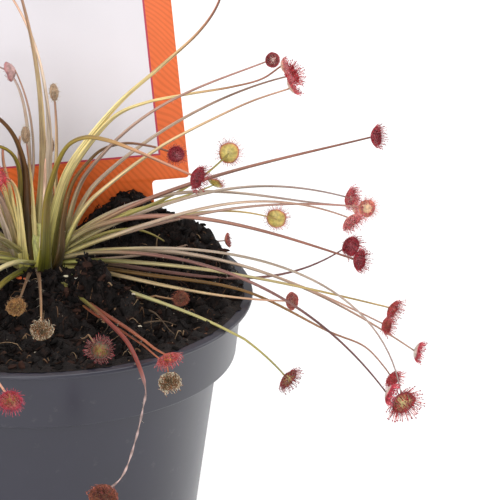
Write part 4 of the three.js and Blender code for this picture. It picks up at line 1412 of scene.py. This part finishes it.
def all_leaves():
    numbers = even_random(SEED)
    choose = random.Random(SEED)

    def wander(amount):
        return (2 * next(numbers) - 1) * amount

    leaves = list(LEAVES)
    for tier in TIERS:
        for i in range(tier.count):
            share = i / (tier.count - 1)
            heading = tier.start + (tier.end - tier.start) * share + wander(TIER_HEADING)
            middle = direction(heading, 0) * (tier.reach + wander(TIER_REACH))
            height = tier.height + wander(TIER_HEIGHT)
            kind = "pale" if next(numbers) < PALE_SHARE else "red"
            mood, stalk = choose.choice(TIER_MOODS[kind]), choose.choice(TIER_STALKS)
            leaves.append(leaf((CROWN.x + middle.x, CROWN.y + middle.y, height), tier.rise,
                               tier.fall, kind, mood, stalk))
    return leaves


# ---- Stage ----

LIT = Vector((0.03, 0, 0.08))  # what the softboxes are turned to, in metres
SOFTBOXES = [  # name, place, side and share of the key's power
    ("key", (0.15, 0.1, 1.5), 1.0, 0.95),
    ("front", (-0.4, -1.3, 0.6), 0.9, 1.2),
    ("side", (1.1, 0.5, 0.5), 0.8, 0.55),
]
FLOOR_REACH = 6  # from the floor's middle to its sides
AIM = Vector((0.0444, 0, 0.0852))  # what the camera looks at


def softbox(name, place, size, power):
    data = bpy.data.lights.new(name, "AREA")
    data.shape, data.size, data.energy = "SQUARE", size, power
    lamp = linked(name, data)
    lamp.location = place
    lamp.rotation_euler = (LIT - Vector(place)).to_track_quat("-Z", "Y").to_euler()


def build_stage(settings):
    scene = bpy.context.scene
    bm = bmesh.new()
    bmesh.ops.create_grid(bm, x_segments=1, y_segments=1, size=FLOOR_REACH)
    floor = linked("floor", mesh_of(bm, "floor"))
    n = Nodes("Pale floor")
    n.shade(Base_Color=n.ramp(n.noise(n.objects(), 3, 2), [(0.3, 0.96), (0.7, 0.98)]))
    n.shade(Roughness=0.9)
    floor.data.materials.append(n.material)
    world = bpy.data.worlds.new("Soft white")
    world.use_nodes = True
    sky = world.node_tree.nodes["Background"]
    sky.inputs["Color"].default_value = (1, 1, 1, 1)
    sky.inputs["Strength"].default_value = settings.world
    scene.world = world
    for name, place, size, share in SOFTBOXES:
        softbox(name, place, size, settings.key * share)
    data = bpy.data.cameras.new("camera")
    data.lens, data.sensor_width = settings.lens, 36
    data.clip_start, data.clip_end = 0.01, 50
    camera = linked("camera", data)
    back = Vector((0, -math.cos(settings.elevation), math.sin(settings.elevation)))
    camera.location = AIM + back * settings.distance
    camera.rotation_euler = (math.pi / 2 - settings.elevation, 0, 0)
    scene.camera = camera
    scene.view_settings.view_transform = "Standard"


# ---- Operators and panel ----

class SUNDEW_OT_pot(bpy.types.Operator):
    """Build the nursery pot"""
    bl_idname = "sundew.pot"
    bl_label = "Pot"

    def execute(self, context):
        build_pot(context.scene.sundew_pot)
        return {"FINISHED"}


class SUNDEW_OT_soil(bpy.types.Operator):
    """Build the peat with its crumbs and root fibres"""
    bl_idname = "sundew.soil"
    bl_label = "Soil"

    def execute(self, context):
        settings = context.scene.sundew_soil
        build_soil(settings, context.scene.sundew_pot)
        build_crumbs(settings)
        build_fibres(settings)
        return {"FINISHED"}


class SUNDEW_OT_label(bpy.types.Operator):
    """Build the blank plant label"""
    bl_idname = "sundew.label"
    bl_label = "Label"

    def execute(self, context):
        build_label(context.scene.sundew_label)
        return {"FINISHED"}


class SUNDEW_OT_stalks(bpy.types.Operator):
    """Build the crown, the leaf stalks and the young leaves"""
    bl_idname = "sundew.stalks"
    bl_label = "Stalks"

    def execute(self, context):
        build_stalks(context.scene.sundew_stalks, all_leaves())
        return {"FINISHED"}


class SUNDEW_OT_traps(bpy.types.Operator):
    """Build the traps with their tentacles"""
    bl_idname = "sundew.traps"
    bl_label = "Traps"

    def execute(self, context):
        build_traps(context.scene.sundew_traps, all_leaves())
        return {"FINISHED"}


class SUNDEW_OT_stage(bpy.types.Operator):
    """Build the floor, the lights and the camera"""
    bl_idname = "sundew.stage"
    bl_label = "Stage"

    def execute(self, context):
        build_stage(context.scene.sundew_stage)
        return {"FINISHED"}


OPERATORS = [SUNDEW_OT_pot, SUNDEW_OT_soil, SUNDEW_OT_label, SUNDEW_OT_stalks, SUNDEW_OT_traps,
             SUNDEW_OT_stage]


class SUNDEW_PT_panel(bpy.types.Panel):
    """Lists the pieces of the sundew and their sizes"""
    bl_label = "Sundew"
    bl_idname = "SUNDEW_PT_panel"
    bl_space_type = "VIEW_3D"
    bl_region_type = "UI"
    bl_category = "Sundew"

    def draw(self, context):
        for operator, name in zip(OPERATORS, SETTINGS):
            box = self.layout.box()
            box.operator(operator.bl_idname)
            settings = getattr(context.scene, name)
            for key in settings.__annotations__:
                box.prop(settings, key)


def register():
    for kind in (*SETTINGS.values(), *OPERATORS, SUNDEW_PT_panel):
        bpy.utils.register_class(kind)
    for name, kind in SETTINGS.items():
        setattr(bpy.types.Scene, name, PointerProperty(type=kind))


def unregister():
    for name in SETTINGS:
        delattr(bpy.types.Scene, name)
    for kind in (SUNDEW_PT_panel, *reversed(OPERATORS), *reversed(SETTINGS.values())):
        bpy.utils.unregister_class(kind)


def main():
    register()
    bpy.ops.sundew.stage()
    bpy.ops.sundew.pot()
    bpy.ops.sundew.soil()
    bpy.ops.sundew.label()
    bpy.ops.sundew.stalks()
    bpy.ops.sundew.traps()


if __name__ == "__main__":
    main()
